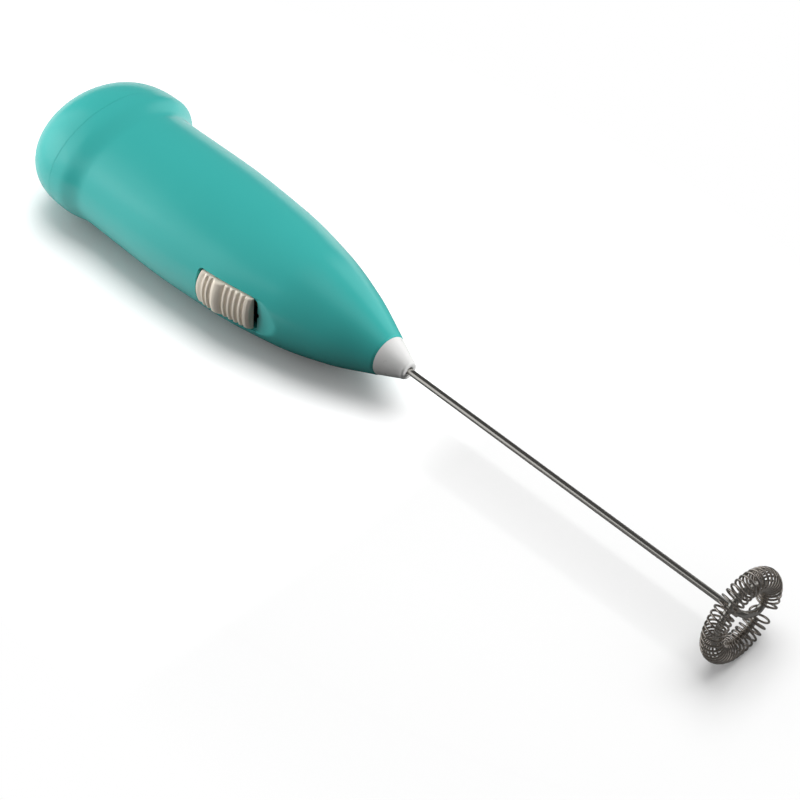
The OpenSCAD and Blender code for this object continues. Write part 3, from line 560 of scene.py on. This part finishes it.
def add_rib(points, faces, x):
    """A rib round the motor, open towards the switch."""
    window = POCKET_HALF + 1
    width, height, _ = section(x, WALL / 2)
    lean_y, lean_z = width * TILT_SIN, height * TILT_COS
    leans = math.atan2(lean_y, lean_z)
    reach = math.asin(window / math.hypot(lean_y, lean_z))
    ends = [from_switch(-CAN_HALF_W, level) for level in (window, -window)]
    first, last = (math.atan2(z, -y) for y, z in ends)
    outer_turn = np.linspace(leans + reach, leans - reach + 2 * math.pi, RIB_STEPS)
    inner_turn = np.linspace(first, last + 2 * math.pi, RIB_STEPS)
    outer = [wall_point(x, a) for a in outer_turn]
    inner = []
    for a in inner_turn:
        flat = (CAN_HALF_W + RIB_CLEARANCE) / max(abs(math.cos(a)), 1e-6)
        r = min(CAN_R + RIB_CLEARANCE, flat)
        inner.append((-r * math.cos(a), r * math.sin(a)))
    for k in range(RIB_STEPS - 1):
        add_plate(points, faces, [outer[k], outer[k + 1], inner[k + 1], inner[k]], x, x + RIB_THICKNESS)


def shell_fittings():
    """The ribs that hold the motor, and the ledges that the front bulkhead stands against."""
    points, faces = [], []
    for x in RIBS:
        add_rib(points, faces, x)
    over = [wall_point(LEDGE_X0, a) for a in np.radians(np.linspace(56, 124, 30))]
    add_plate(points, faces, over + [(over[-1][0], 9.4), (over[0][0], 9.4)], LEDGE_X0, LEDGE_X1)
    beside = [wall_point(LEDGE_X0, a) for a in np.radians(np.linspace(157, 196, 16))]
    add_plate(points, faces, beside + [(12.8, beside[-1][1]), (12.8, beside[0][1])], LEDGE_X0, LEDGE_X1)
    return mesh_piece("shell_fittings", points, faces, crease=35)


# ---- thumb slide ----

SLIDE_BASE = 13.0
SLIDE_BOW = 0.5  # the pommel end curves back this far at its corners
SLIDE_BOW_FADE = 6.0  # length over which that curve fades out
SLIDE_SOFT = 0.09  # its outline is softened over this length to each side
SLIDE_SIDE_R, SLIDE_END_R = 0.35, 0.2
SLIDE_STEP = 0.07


def rib(s, foot, height):
    return [(s, foot), (s + 0.28, foot + height), (s + 0.8, foot + height), (s + 1.08, foot)]


def slide_crest():
    """Outline of the slide's back: distance from its pommel end, height over the handle's own curve.
    It has a rim at each end, two ribs, a crest for the thumb, and four more ribs."""
    crest = [(0, -0.1), (0.25, 0.3), (0.85, 0.3)]
    for i in range(2):
        crest += rib(1.7 + 1.35 * i, 0.1 + 0.1 * i, 0.45)
    crest += [(4.6, 0.3), (5.0, 0.8), (5.6, 0.9), (6.2, 0.83), (6.8, 0.64), (7.3, 0.4), (7.6, 0.1)]
    for i in range(4):
        crest += rib(7.75 + 1.46 * i, 0.05, 0.45)
    crest += [(13.5, 0.05), (13.75, 0.5), (14.5, 0.45), (SLIDE_LENGTH, 0.1)]
    return np.array(crest)


def edge_distance(x, z):
    """Distance of the handle's surface from the axis, in the switch's place at level z."""
    width, height = along(x, FORM_HALF_WIDTH), along(x, FORM_HALF_HEIGHT)
    c, s = TILT_COS, TILT_SIN
    a = (c / width) ** 2 + (s / height) ** 2
    b = z * c * s * (1 / width**2 - 1 / height**2)
    d = z**2 * ((s / width) ** 2 + (c / height) ** 2) - 1
    return (b + np.sqrt(b**2 - a * d)) / a


def in_switch_place(points):
    """Points drawn in the switch's own place, turned to where it stands."""
    return np.stack([points[..., 0], *from_switch(points[..., 1], points[..., 2])], axis=-1)


def rounded_in(distance, radius):
    """Drop of a surface towards an edge rounded to radius."""
    gap = np.clip(radius - distance, 0, radius)
    return radius - np.sqrt(radius**2 - gap**2)


def slide_surface(s, z):
    """The slide's back, s from its pommel end and at level z, in the switch's own place."""
    crest = slide_crest()
    soft = np.linspace(-SLIDE_SOFT, SLIDE_SOFT, 7)
    height = np.mean([np.interp(s + d, crest[:, 0], crest[:, 1]) for d in soft], axis=0)
    x = SLIDE_X0 + s + SLIDE_BOW * (z / SLIDE_HALF) ** 2 * np.clip(1 - s / SLIDE_BOW_FADE, 0, 1)
    end = np.minimum(s, SLIDE_LENGTH - s)
    drop = rounded_in(SLIDE_HALF - np.abs(z), SLIDE_SIDE_R) + rounded_in(end, SLIDE_END_R)
    return np.stack([x, -np.maximum(edge_distance(x, z) + height - drop, SLIDE_BASE + 0.15), z], axis=-1)


def thumb_slide():
    """The ribbed slide: a solid from its back down to the level of its base."""
    ends = [0.02, 0.05, SLIDE_LENGTH - 0.05, SLIDE_LENGTH - 0.02]
    s = sorted_lines(spaced(0, SLIDE_LENGTH, SLIDE_STEP) + ends, 0.01)
    z = np.array([SLIDE_HALF * math.sin(math.radians(a)) for a in np.linspace(-90, 90, 61)])
    grid_s, grid_z = np.meshgrid(s, z, indexing="ij")
    outer = slide_surface(grid_s, grid_z)
    step = 0.004
    before, after = (np.clip(grid_s + d, 0, SLIDE_LENGTH) for d in (-step, step))
    slope_s = slide_surface(after, grid_z) - slide_surface(before, grid_z)
    level = np.clip(grid_z, step - SLIDE_HALF, SLIDE_HALF - step)
    slope_z = slide_surface(grid_s, level + step) - slide_surface(grid_s, level - step)
    inner = outer.copy()
    inner[..., 1] = -SLIDE_BASE
    outer, inner, normals = map(in_switch_place, (outer, inner, np.cross(slope_s, slope_z)))
    return solid_between("thumb_slide", outer, inner, normals=normals)


def slide_foot():
    """The neck through the slot, and the foot inside the shell that keeps the slide in."""
    points, faces = [], []
    foot_y = -PAD + 0.15
    start, end = SLIDE_X0 + 3.5, SLIDE_X0 + 11
    add_block(points, faces, (start, -SLIDE_BASE - 0.1, -3.6), (end, foot_y + 0.1, 3.6), 0.1)
    add_block(points, faces, (start - 0.5, foot_y, -4.8), (end, foot_y + 0.8, 4.8), 0.15)
    return mesh_piece("slide_foot", in_switch_place(np.array(points)), faces)


# ---- nose cone ----

NOSE_LENGTH = 6.5
NOSE_BASE_R = 4.75
NOSE_TIP_R = 2.3
NOSE_EDGE_R = 0.7
NOSE_BORE_R = 0.95


def nose_cone():
    """A straight cone with a rounded tip, a short hole for the rod, and the hollow spigot that holds it."""
    side = [(0.0, NOSE_BASE_R - 0.08), (0.03, NOSE_BASE_R - 0.02), (0.1, NOSE_BASE_R - 0.03)]
    edge_x, edge_r = NOSE_LENGTH - NOSE_EDGE_R, NOSE_TIP_R - NOSE_EDGE_R
    slope = (NOSE_BASE_R - NOSE_TIP_R) / edge_x
    side += [(x, NOSE_BASE_R - slope * x) for x in np.linspace(0.5, edge_x - 0.3, 12)]
    for turn in np.radians(np.linspace(8, 90, 12)):
        side.append((edge_x + NOSE_EDGE_R * math.sin(turn), edge_r + NOSE_EDGE_R * math.cos(turn)))
    mouth = [(NOSE_LENGTH, 1.15), (NOSE_LENGTH - 0.05, 1.02), (NOSE_LENGTH - 0.15, NOSE_BORE_R)]
    bore = mouth + [(1.4, NOSE_BORE_R)]
    seat = [(1.4, 2.9), (-4.6, 2.9), (-4.6, 3.3), (-3.6, 3.8), (-3, 3.8), (-2.6, 3.45), (0, 3.45)]
    return lathe("nose_moulding", [(HANDLE_LENGTH + x, r) for x, r in side + bore + seat])


# ---- whisk ----

RING_X = 208.0  # the ring stands across the rod here
RING_R = 8.5
ROD_R = 0.75
ROD_START = 97.0  # inside the coupling
BEND_R = 2.0
COIL_WIRE_R = 0.24
COIL_R = 2.26  # of the coil's own turns, at the middle of its wire
COIL_TURNS = 42
COIL_START, COIL_SWEEP = 19.0, 337.0
COIL_LEAN = 9.0  # degrees that the end turns lean over the gap, at their outer side
COIL_LEAN_POWER = 9.0  # how quickly the turns before them stand up again
CORE_R = 7.37  # of the rod's own ring, inside the coil
CORE_END = 330.0  # degrees that the core wire reaches round, from the leg
LEG_ANGLE = -36.0  # degrees that the ring is turned about the rod
RING_AXES = Matrix(((0, 0, 1, 0), (1, 0, 0, 0), (0, 1, 0, 0), (0, 0, 0, 1)))
RING_TURN = Matrix.Rotation(math.radians(LEG_ANGLE), 4, "X")
RING_PLACE = LAID @ Matrix.Translation((RING_X, 0, 0)) @ RING_TURN @ RING_AXES


def arc_points(centre, radius, start, sweep, steps):
    """Points of an arc in the ring's plane, as (u, v)."""
    angles = np.radians(np.linspace(start, start + sweep, steps + 1))
    return [(centre[0] + radius * math.cos(a), centre[1] + radius * math.sin(a), 0.0) for a in angles]


def rod_path():
    """The rod, its bend, the leg, the elbow and the ring, as one route of (u, v, w)."""
    rod = [(0.0, 0.0, w) for w in np.linspace(ROD_START - RING_X, -BEND_R, 40)[:-1]]
    bend = [
        (BEND_R - BEND_R * math.cos(a), 0.0, -BEND_R + BEND_R * math.sin(a))
        for a in np.radians(np.linspace(0, 90, 15))
    ]
    elbow_u = math.sqrt((CORE_R - BEND_R) ** 2 - BEND_R**2)
    meet = math.degrees(math.atan2(BEND_R, elbow_u))
    elbow = arc_points((elbow_u, BEND_R), BEND_R, -90, 90 + meet, 16)
    ring = arc_points((0, 0), CORE_R, meet, CORE_END, 120)[1:]
    return rod + bend + elbow + ring


def feed(tree, socket, value):
    """Links a socket to another one, or sets it to a plain value."""
    if isinstance(value, bpy.types.NodeSocket):
        tree.links.new(value, socket)
    else:
        socket.default_value = value


def new_node(tree, kind, given, output=0, **settings):
    """Adds a node, feeds its inputs with what is given, and returns one of its outputs."""
    node = tree.nodes.new(kind)
    for name, value in settings.items():
        setattr(node, name, value)
    for socket, value in given.items():
        feed(tree, node.inputs[socket], value)
    return node.outputs[output]


def maths(tree, operation, *values):
    return new_node(tree, "ShaderNodeMath", dict(enumerate(values)), operation=operation)


def node_input(tree, name, kind, value=None):
    """A named input of a tree, with its usual value."""
    socket = tree.interface.new_socket(name=name, in_out="INPUT", socket_type=kind)
    if value is not None:
        socket.default_value = value


def swept(tree, route, radius, sides, finish, result):
    """Sweeps a round wire along the edges of a mesh, and sends it, with its finish, to the tree's result."""
    curve = new_node(tree, "GeometryNodeMeshToCurve", {"Mesh": route})
    profile = new_node(tree, "GeometryNodeCurvePrimitiveCircle", {"Resolution": sides, "Radius": radius})
    ends = {"Curve": curve, "Profile Curve": profile, "Fill Caps": True}
    wire = new_node(tree, "GeometryNodeCurveToMesh", ends)
    smooth = new_node(tree, "GeometryNodeSetShadeSmooth", {"Geometry": wire})
    real = new_node(tree, "GeometryNodeRealizeInstances", {"Geometry": smooth})
    feed(tree, result, new_node(tree, "GeometryNodeSetMaterial", {"Geometry": real, "Material": finish}))


def sweep_tree():
    """A node tree that sweeps a round wire along the edges of the mesh it is put on."""
    tree = bpy.data.node_groups.new("wire_sweep", "GeometryNodeTree")
    node_input(tree, "Route", "NodeSocketGeometry")
    node_input(tree, "Wire radius", "NodeSocketFloat", ROD_R)
    node_input(tree, "Sides", "NodeSocketInt", 28)
    node_input(tree, "Finish", "NodeSocketMaterial")
    tree.interface.new_socket(name="Wire", in_out="OUTPUT", socket_type="NodeSocketGeometry")
    given, result = tree.nodes.new("NodeGroupInput").outputs, tree.nodes.new("NodeGroupOutput").inputs
    swept(tree, given["Route"], given["Wire radius"], given["Sides"], given["Finish"], result["Wire"])
    return tree


def coil_tree():
    """A node tree that winds a coil spring round a ring, and sweeps its wire."""
    tree = bpy.data.node_groups.new("ring_coil", "GeometryNodeTree")
    node_input(tree, "Geometry", "NodeSocketGeometry")
    for name, size in (
        ("Ring radius", RING_R), ("Turn radius", COIL_R), ("Wire radius", COIL_WIRE_R),
        ("Start", math.radians(COIL_START)), ("Sweep", math.radians(COIL_SWEEP)),
        ("Lean", math.radians(COIL_LEAN)),
    ):
        node_input(tree, name, "NodeSocketFloat", size)
    for name, count in (("Turns", COIL_TURNS), ("Steps per turn", 24), ("Sides", 8)):
        node_input(tree, name, "NodeSocketInt", count)
    node_input(tree, "Finish", "NodeSocketMaterial")
    tree.interface.new_socket(name="Coil", in_out="OUTPUT", socket_type="NodeSocketGeometry")
    value, result = tree.nodes.new("NodeGroupInput").outputs, tree.nodes.new("NodeGroupOutput").inputs

    def calc(operation, *values):
        return maths(tree, operation, *values)

    steps = calc("MULTIPLY", value["Turns"], value["Steps per turn"])
    line = new_node(tree, "GeometryNodeMeshLine", {"Count": calc("ADD", steps, 1)})
    share = calc("DIVIDE", new_node(tree, "GeometryNodeInputIndex", {}), steps)
    around = calc("ADD", value["Start"], calc("MULTIPLY", value["Sweep"], share))
    turn = calc("MULTIPLY", calc("MULTIPLY", share, value["Turns"]), 2 * math.pi)
    outwards = calc("MULTIPLY", value["Turn radius"], calc("COSINE", turn))
    reach = calc("ADD", value["Ring radius"], outwards)
    from_middle = calc("SUBTRACT", calc("MULTIPLY", share, 2.0), 1.0)
    near_end = calc("POWER", calc("ABSOLUTE", from_middle), COIL_LEAN_POWER)
    lean = calc("MULTIPLY", near_end, value["Lean"])
    lean = calc("MULTIPLY", lean, calc("SIGN", from_middle))
    outer = calc("MULTIPLY_ADD", calc("COSINE", turn), 0.5, 0.5)
    around = calc("ADD", around, calc("MULTIPLY", lean, outer))
    place = new_node(tree, "ShaderNodeCombineXYZ", {
        "X": calc("MULTIPLY", reach, calc("COSINE", around)),
        "Y": calc("MULTIPLY", reach, calc("SINE", around)),
        "Z": calc("MULTIPLY", value["Turn radius"], calc("SINE", turn)),
    })
    wound = new_node(tree, "GeometryNodeSetPosition", {"Geometry": line, "Position": place})
    swept(tree, wound, value["Wire radius"], value["Sides"], value["Finish"], result["Coil"])
    return tree


def grown(name, mesh, tree, finish):
    """Runs a node tree on a mesh, and keeps the result as a plain mesh at the ring's place."""
    seed = add_object(name + "_seed", mesh)
    modifier = seed.modifiers.new("nodes", "NODES")
    modifier.node_group = tree
    modifier[tree.interface.items_tree["Finish"].identifier] = finish
    evaluated = seed.evaluated_get(bpy.context.evaluated_depsgraph_get())
    result = bpy.data.meshes.new_from_object(evaluated)
    seed.modifiers.remove(modifier)
    bpy.data.objects.remove(seed)
    result.name = name
    result.transform(RING_PLACE)
    return add_object(name, result)


def route_mesh(name, route):
    """A chain of edges through the route's points."""
    mesh = bpy.data.meshes.new(name)
    mesh.from_pydata(route, [(i, i + 1) for i in range(len(route) - 1)], [])
    return mesh


# ---- finishes ----

BLOTCH = 60.0  # scale of the drift in colour, per metre
BUMP_GRAIN = 1500.0  # and of the raised grain
BUMP, BUMP_HEIGHT = 0.02, 0.0001
COAT_ROUGHNESS = 0.12
BARE_STEEL = (0.62, 0.62, 0.60, 1)


def ranged(tree, value, start, end, low=0.0, high=1.0, ease="SMOOTHSTEP"):
    """Goes from low to high as the value goes from start to end."""
    given = {"Value": value, "From Min": start, "From Max": end, "To Min": low, "To Max": high}
    return new_node(tree, "ShaderNodeMapRange", given, interpolation_type=ease)


def colour_mix(tree, factor, first, second):
    """A blend of two colours."""
    given = {"Factor": factor, "A": first, "B": second}
    return new_node(tree, "ShaderNodeMix", given, "Result", data_type="RGBA")


def own_place(tree):
    """The place on the piece itself, in metres."""
    return new_node(tree, "ShaderNodeTexCoord", {}, "Object")


def new_finish(name, colour, other, roughness, metal=0.0, grain=400.0, coat=0.0, specular=0.5):
    """A finish whose colour and roughness drift a little over the surface, under a fine raised grain."""
    material = bpy.data.materials.new(name)
    material.use_nodes = True
    tree = material.node_tree

    def noise(scale, detail):
        given = {"Vector": own_place(tree), "Scale": scale, "Detail": detail}
        return new_node(tree, "ShaderNodeTexNoise", given)

    bumps = {"Strength": BUMP, "Distance": BUMP_HEIGHT, "Height": noise(BUMP_GRAIN, 2)}
    for socket, value in (
        ("Base Color", colour_mix(tree, noise(BLOTCH, 2), (*colour, 1), (*other, 1))),
        ("Roughness", ranged(tree, noise(grain, 3), 0.0, 1.0, *roughness, ease="LINEAR")),
        ("Normal", new_node(tree, "ShaderNodeBump", bumps)),
        ("Metallic", metal), ("Specular IOR Level", specular),
        ("Coat Weight", coat), ("Coat Roughness", COAT_ROUGHNESS),
    ):
        feed(tree, tree.nodes["Principled BSDF"].inputs[socket], value)
    return material


TEAL = new_finish("teal_plastic", (0.042, 0.395, 0.370), (0.048, 0.420, 0.392), (0.20, 0.26), specular=0.6)
WHITE = new_finish("white_plastic", (0.70, 0.70, 0.69), (0.74, 0.74, 0.73), (0.24, 0.34))
CREAM = new_finish("cream_plastic", (0.78, 0.71, 0.60), (0.83, 0.76, 0.65), (0.30, 0.42))
ROD_STEEL = new_finish(
    "rod_steel", (0.68, 0.66, 0.62), (0.74, 0.72, 0.68), (0.14, 0.24), metal=1.0, grain=900.0
)
COIL_STEEL = new_finish(
    "coil_steel", (0.60, 0.54, 0.48), (0.74, 0.70, 0.66), (0.08, 0.16), metal=1.0, grain=900.0
)


def cell_finish(node, rear, front):
    """Dark wrap on a cell. Its ends are bare steel: rear and front are how far they reach, in mm."""
    material = new_finish(node + "_wrap", (0.03, 0.035, 0.05), (0.04, 0.045, 0.06), (0.2, 0.3), coat=0.5)
    tree = material.node_tree
    shader = tree.nodes["Principled BSDF"].inputs
    low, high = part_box(node)
    x = new_node(tree, "ShaderNodeSeparateXYZ", {0: own_place(tree)}, "X")
    behind = maths(tree, "LESS_THAN", x, low[0] + rear * MM)
    ahead = maths(tree, "GREATER_THAN", x, high[0] - front * MM)
    bare = maths(tree, "MAXIMUM", behind, ahead)
    wrap = shader["Base Color"].links[0].from_socket
    feed(tree, shader["Base Color"], colour_mix(tree, bare, wrap, BARE_STEEL))
    feed(tree, shader["Metallic"], bare)
    return material


INSIDE = (  # name, two colours, roughness, metal, and the CAD nodes that have the finish
    ("contact_brass", (0.72, 0.53, 0.24), (0.64, 0.45, 0.19), (0.25, 0.4), 1.0, (
        "slide_contact", "supply_contact", "motor_contact", "positive_plate", "negative_plate",
        "bridge_plate", "motor_terminals",
    )),
    ("board_black", (0.022, 0.022, 0.025), (0.03, 0.03, 0.033), (0.45, 0.6), 0.0,
     ("switch_board", "contact_bulkhead")),
    ("spring_nickel", (0.62, 0.60, 0.56), (0.52, 0.50, 0.47), (0.2, 0.35), 1.0,
     ("negative_spring", "bridge_spring")),
    ("motor_steel", (0.58, 0.58, 0.57), (0.5, 0.5, 0.49), (0.25, 0.4), 1.0, ("motor_can",)),
    ("magnet_ferrite", (0.06, 0.06, 0.065), (0.09, 0.09, 0.095), (0.5, 0.7), 0.0,
     ("motor_magnets", "armature_core")),
    ("motor_nylon", (0.78, 0.76, 0.70), (0.82, 0.80, 0.75), (0.4, 0.5), 0.0,
     ("motor_end_cap", "shaft_coupling")),
    ("copper", (0.62, 0.30, 0.16), (0.54, 0.25, 0.13), (0.25, 0.4), 1.0,
     ("motor_brushes", "armature_windings", "commutator")),
    ("bush_bronze", (0.48, 0.32, 0.17), (0.40, 0.26, 0.13), (0.4, 0.55), 1.0, ("rear_bush", "front_bush")),
    ("lead_red", (0.50, 0.03, 0.02), (0.56, 0.04, 0.03), (0.4, 0.5), 0.0, ("lead_red",)),
    ("lead_black", (0.02, 0.02, 0.02), (0.03, 0.03, 0.03), (0.4, 0.5), 0.0, ("lead_black",)),
)


def cover_with(finish, piece):
    piece.data.materials.clear()
    piece.data.materials.append(finish)


for name, colour, other, roughness, metal, nodes in INSIDE:
    finish = new_finish(name, colour, other, roughness, metal)
    for node in nodes:
        cover_with(finish, frame["nodes"][node])
cover_with(ROD_STEEL, frame["nodes"]["motor_shaft"])
cover_with(cell_finish("battery_1", 0.5, 1.7), frame["nodes"]["battery_1"])
cover_with(cell_finish("battery_2", 1.7, 0.5), frame["nodes"]["battery_2"])


# ---- building ----

def place_piece(piece, finish, body, slot, *nodes):
    """Gives a piece its finish and body, and takes away the CAD nodes that it stands for. The slot is not
    used.
    """
    if finish:
        cover_with(finish, piece)
    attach(piece, body)
    if nodes:
        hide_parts(*nodes)


place_piece(handle_half("shell_moulding", False), TEAL, "root", "handle_teal", "handle_shell")
place_piece(handle_half("cover_moulding", True), TEAL, "cover", "handle_teal", "battery_cover")
place_piece(spigot(), TEAL, "cover", "handle_teal")
place_piece(cover_fittings(), TEAL, "cover", "handle_teal")
place_piece(shell_fittings(), TEAL, "root", "handle_teal")
place_piece(thumb_slide(), CREAM, "switch", "button_cream", "switch_slide")
place_piece(slide_foot(), CREAM, "switch", "button_cream")
place_piece(nose_cone(), WHITE, "root", "nose_white", "nose_cone")

rod = grown("rod_wire", route_mesh("rod_route", rod_path()), sweep_tree(), ROD_STEEL)
coil = grown("whisk_spring", bpy.data.meshes.new("coil_seed"), coil_tree(), COIL_STEEL)
place_piece(rod, None, "whisk", "rod_steel", "whisk_shaft")
place_piece(coil, None, "whisk", "coil_steel", "whisk_coil")


# ---- camera, table and light ----

CAMERA_AZIMUTH, CAMERA_ELEVATION = math.radians(136.08), math.radians(46.01)
CAMERA_AIM = Vector((118.69, -5.67, -2.59))
CAMERA_DISTANCE = 484.76
CAMERA_ANGLE = math.radians(19.90)


def look_at(position, target, up):
    """Turn of an object that looks from position to target."""
    back = (Vector(position) - Vector(target)).normalized()
    side = Vector(up).cross(back).normalized()
    over = back.cross(side)
    return Matrix((side, over, back)).transposed().to_4x4()


def add_camera():
    level = math.cos(CAMERA_ELEVATION)
    across, along_rod = level * math.sin(CAMERA_AZIMUTH), level * math.cos(CAMERA_AZIMUTH)
    spot = CAMERA_AIM - Vector((along_rod, across, -math.sin(CAMERA_ELEVATION))) * CAMERA_DISTANCE
    data = bpy.data.cameras.new("camera")
    data.angle = CAMERA_ANGLE
    data.clip_start, data.clip_end = 0.01, 20
    camera = add_object("camera", data)
    turn = LAID.to_3x3().normalized().to_4x4() @ look_at(spot, CAMERA_AIM, (0, 0, 1))
    camera.matrix_world = Matrix.Translation(LAID @ spot) @ turn
    bpy.context.scene.camera = camera


def from_angles(azimuth, elevation):
    """Unit vector towards an azimuth and an elevation, in degrees."""
    a, e = math.radians(azimuth), math.radians(elevation)
    return Vector((math.cos(e) * math.cos(a), math.cos(e) * math.sin(a), math.sin(e)))


PANELS = (  # name, azimuth, elevation, distance, size, watts, and how it treats the table
    ("left", -155, 20, 0.9, 0.5, 11.0, "EXCLUDE"),
    ("right", 50, 16, 0.9, 0.5, 11.0, "EXCLUDE"),
    ("top", 90, 80, 1.0, 0.6, 3.0, "EXCLUDE"),
    ("table_sky", 90, 90, 1.2, 6.0, 72.0, "INCLUDE"),
    ("table_key", 85, 75, 1.0, 0.9, 13.0, "INCLUDE"),
)


def add_panel(table, name, azimuth, elevation, distance, size, watts, state):
    """A soft panel lamp. Its state is INCLUDE to light only the table, or EXCLUDE to light all but it."""
    light = bpy.data.lights.new(name, "AREA")
    light.shape = "SQUARE"
    light.size = size
    light.energy = watts
    lamp = add_object(name, light)
    position = from_angles(azimuth, elevation) * distance
    lamp.matrix_world = Matrix.Translation(position) @ look_at(position, (0, 0, 0.01), (0, 1, 0.01))
    lamp.visible_camera = lamp.visible_glossy = False
    group = bpy.data.collections.new(name + "_lights")
    group.objects.link(table)
    lamp.light_linking.receiver_collection = group
    group.collection_objects[0].light_linking.link_state = state


def ray_is(tree, kind):
    """1 for rays of that kind, else 0."""
    return new_node(tree, "ShaderNodeLightPath", {}, "Is " + kind + " Ray")


def within(tree, value, edge, soft):
    """1 where the value's size is under edge, easing to 0 over soft to each side of it."""
    return ranged(tree, maths(tree, "ABSOLUTE", value), edge + soft, edge - soft)


def mirrored_panel(tree, azimuth, elevation, spread):
    """1 in the directions where a big square panel stands, as a gloss surface mirrors it."""
    toward = from_angles(azimuth, elevation)
    across = Vector((0, 0, 1)).cross(toward).normalized()
    place = new_node(tree, "ShaderNodeTexCoord", {}, "Generated")
    ahead, *aside = (
        new_node(tree, "ShaderNodeVectorMath", {0: place, 1: axis}, "Value", operation="DOT_PRODUCT")
        for axis in (toward, across, toward.cross(across))
    )
    ahead = maths(tree, "MAXIMUM", ahead, 0.001)
    inside = [within(tree, maths(tree, "DIVIDE", part, ahead), spread, PANEL_SOFT) for part in aside]
    return maths(tree, "MULTIPLY", *inside)


SOFT_LEVEL = 0.12  # of the even light all round
MIRRORED_LEVEL = 0.07  # of what gloss mirrors where no panel stands
PANEL_SOFT = 0.06  # softness of the edges of a mirrored panel
MIRRORED_PANELS = ((-153, 15, 0.72, 0.75), (88, 18, 0.40, 0.7))  # azimuth, elevation, spread, level


def emptied_tree(data):
    """The node tree of a material or a world, emptied."""
    data.use_nodes = True
    data.node_tree.nodes.clear()
    return data.node_tree


def add_world():
    """Dim and even for light, white behind the picture, and bright panels in what gloss mirrors."""
    world = bpy.data.worlds.new("studio")
    bpy.context.scene.world = world
    tree = emptied_tree(world)
    mirrored = MIRRORED_LEVEL - SOFT_LEVEL
    for azimuth, elevation, spread, level in MIRRORED_PANELS:
        panel = mirrored_panel(tree, azimuth, elevation, spread)
        mirrored = maths(tree, "MULTIPLY_ADD", panel, level - MIRRORED_LEVEL, mirrored)
    level = maths(tree, "MULTIPLY_ADD", ray_is(tree, "Glossy"), mirrored, SOFT_LEVEL)
    seen = maths(tree, "MAXIMUM", ray_is(tree, "Camera"), ray_is(tree, "Transmission"))
    given = {"Color": (1, 1, 1, 1), "Strength": maths(tree, "MAXIMUM", level, seen)}
    light = new_node(tree, "ShaderNodeBackground", given)
    feed(tree, tree.nodes.new("ShaderNodeOutputWorld").inputs["Surface"], light)


# The table's paint turns greyer along x, so that the rod's shadow shows on it: from where, to where, and
# the paint's level at both, first as it is seen and then as it is mirrored and lights the frother.
# The second is painted shade: the table that gloss mirrors and that bounces light is paler towards the
# pommel's end and dark towards the nose and whisk.
SEEN_GREYS = (0.0, 0.03, 0.93, 0.6)
MIRRORED_SHADE_GREYS = (-0.06, -0.02, 0.5, 0.09)
TABLE_REACH = 6.0
SHADOW_REACH = (0.20, 0.10)  # half axes of the ellipse past which the table is seen plain white


def blended(tree, factor, first, second):
    """A blend of two shaders."""
    return new_node(tree, "ShaderNodeMixShader", {0: factor, 1: first, 2: second})


def add_table():
    """White table, clear from below. It keeps the shadow near the frother, and is plain white far out. As
    gloss mirrors it and as it bounces light, its paint carries painted shade.
    """
    mesh = bpy.data.meshes.new("table")
    corners = [(x * TABLE_REACH, y * TABLE_REACH, 0) for x, y in ((-1, -1), (1, -1), (1, 1), (-1, 1))]
    mesh.from_pydata(corners, [], [(0, 1, 2, 3)])
    table = add_object("table", mesh)
    material = bpy.data.materials.new("table_white")
    tree = emptied_tree(material)
    seen = ray_is(tree, "Camera")
    x, y = (new_node(tree, "ShaderNodeSeparateXYZ", {0: own_place(tree)}, axis) for axis in "XY")
    # the greys that gloss mirrors and that light the frother are painted shade, dark towards the nose and
    # whisk
    greys = [ranged(tree, x, *given) for given in (MIRRORED_SHADE_GREYS, SEEN_GREYS)]
    paint = new_node(tree, "ShaderNodeBsdfDiffuse", {"Color": colour_mix(tree, seen, *greys)})
    long, wide = maths(tree, "DIVIDE", x, SHADOW_REACH[0]), maths(tree, "DIVIDE", y, SHADOW_REACH[1])
    far = maths(tree, "ADD", maths(tree, "MULTIPLY", long, long), maths(tree, "MULTIPLY", wide, wide))
    plain = maths(tree, "MULTIPLY", ranged(tree, far, 0.5, 1.0, ease="LINEAR"), seen)
    above = blended(tree, plain, paint, new_node(tree, "ShaderNodeEmission", {}))
    below = new_node(tree, "ShaderNodeNewGeometry", {}, "Backfacing")
    one_sided = blended(tree, below, above, new_node(tree, "ShaderNodeBsdfTransparent", {}))
    feed(tree, tree.nodes.new("ShaderNodeOutputMaterial").inputs["Surface"], one_sided)
    mesh.materials.append(material)
    table.location.z = -0.0002
    return table


bpy.context.scene.view_settings.view_transform = "Standard"
add_camera()
add_world()
table = add_table()
for panel in PANELS:
    add_panel(table, *panel)

bpy.context.view_layer.update()
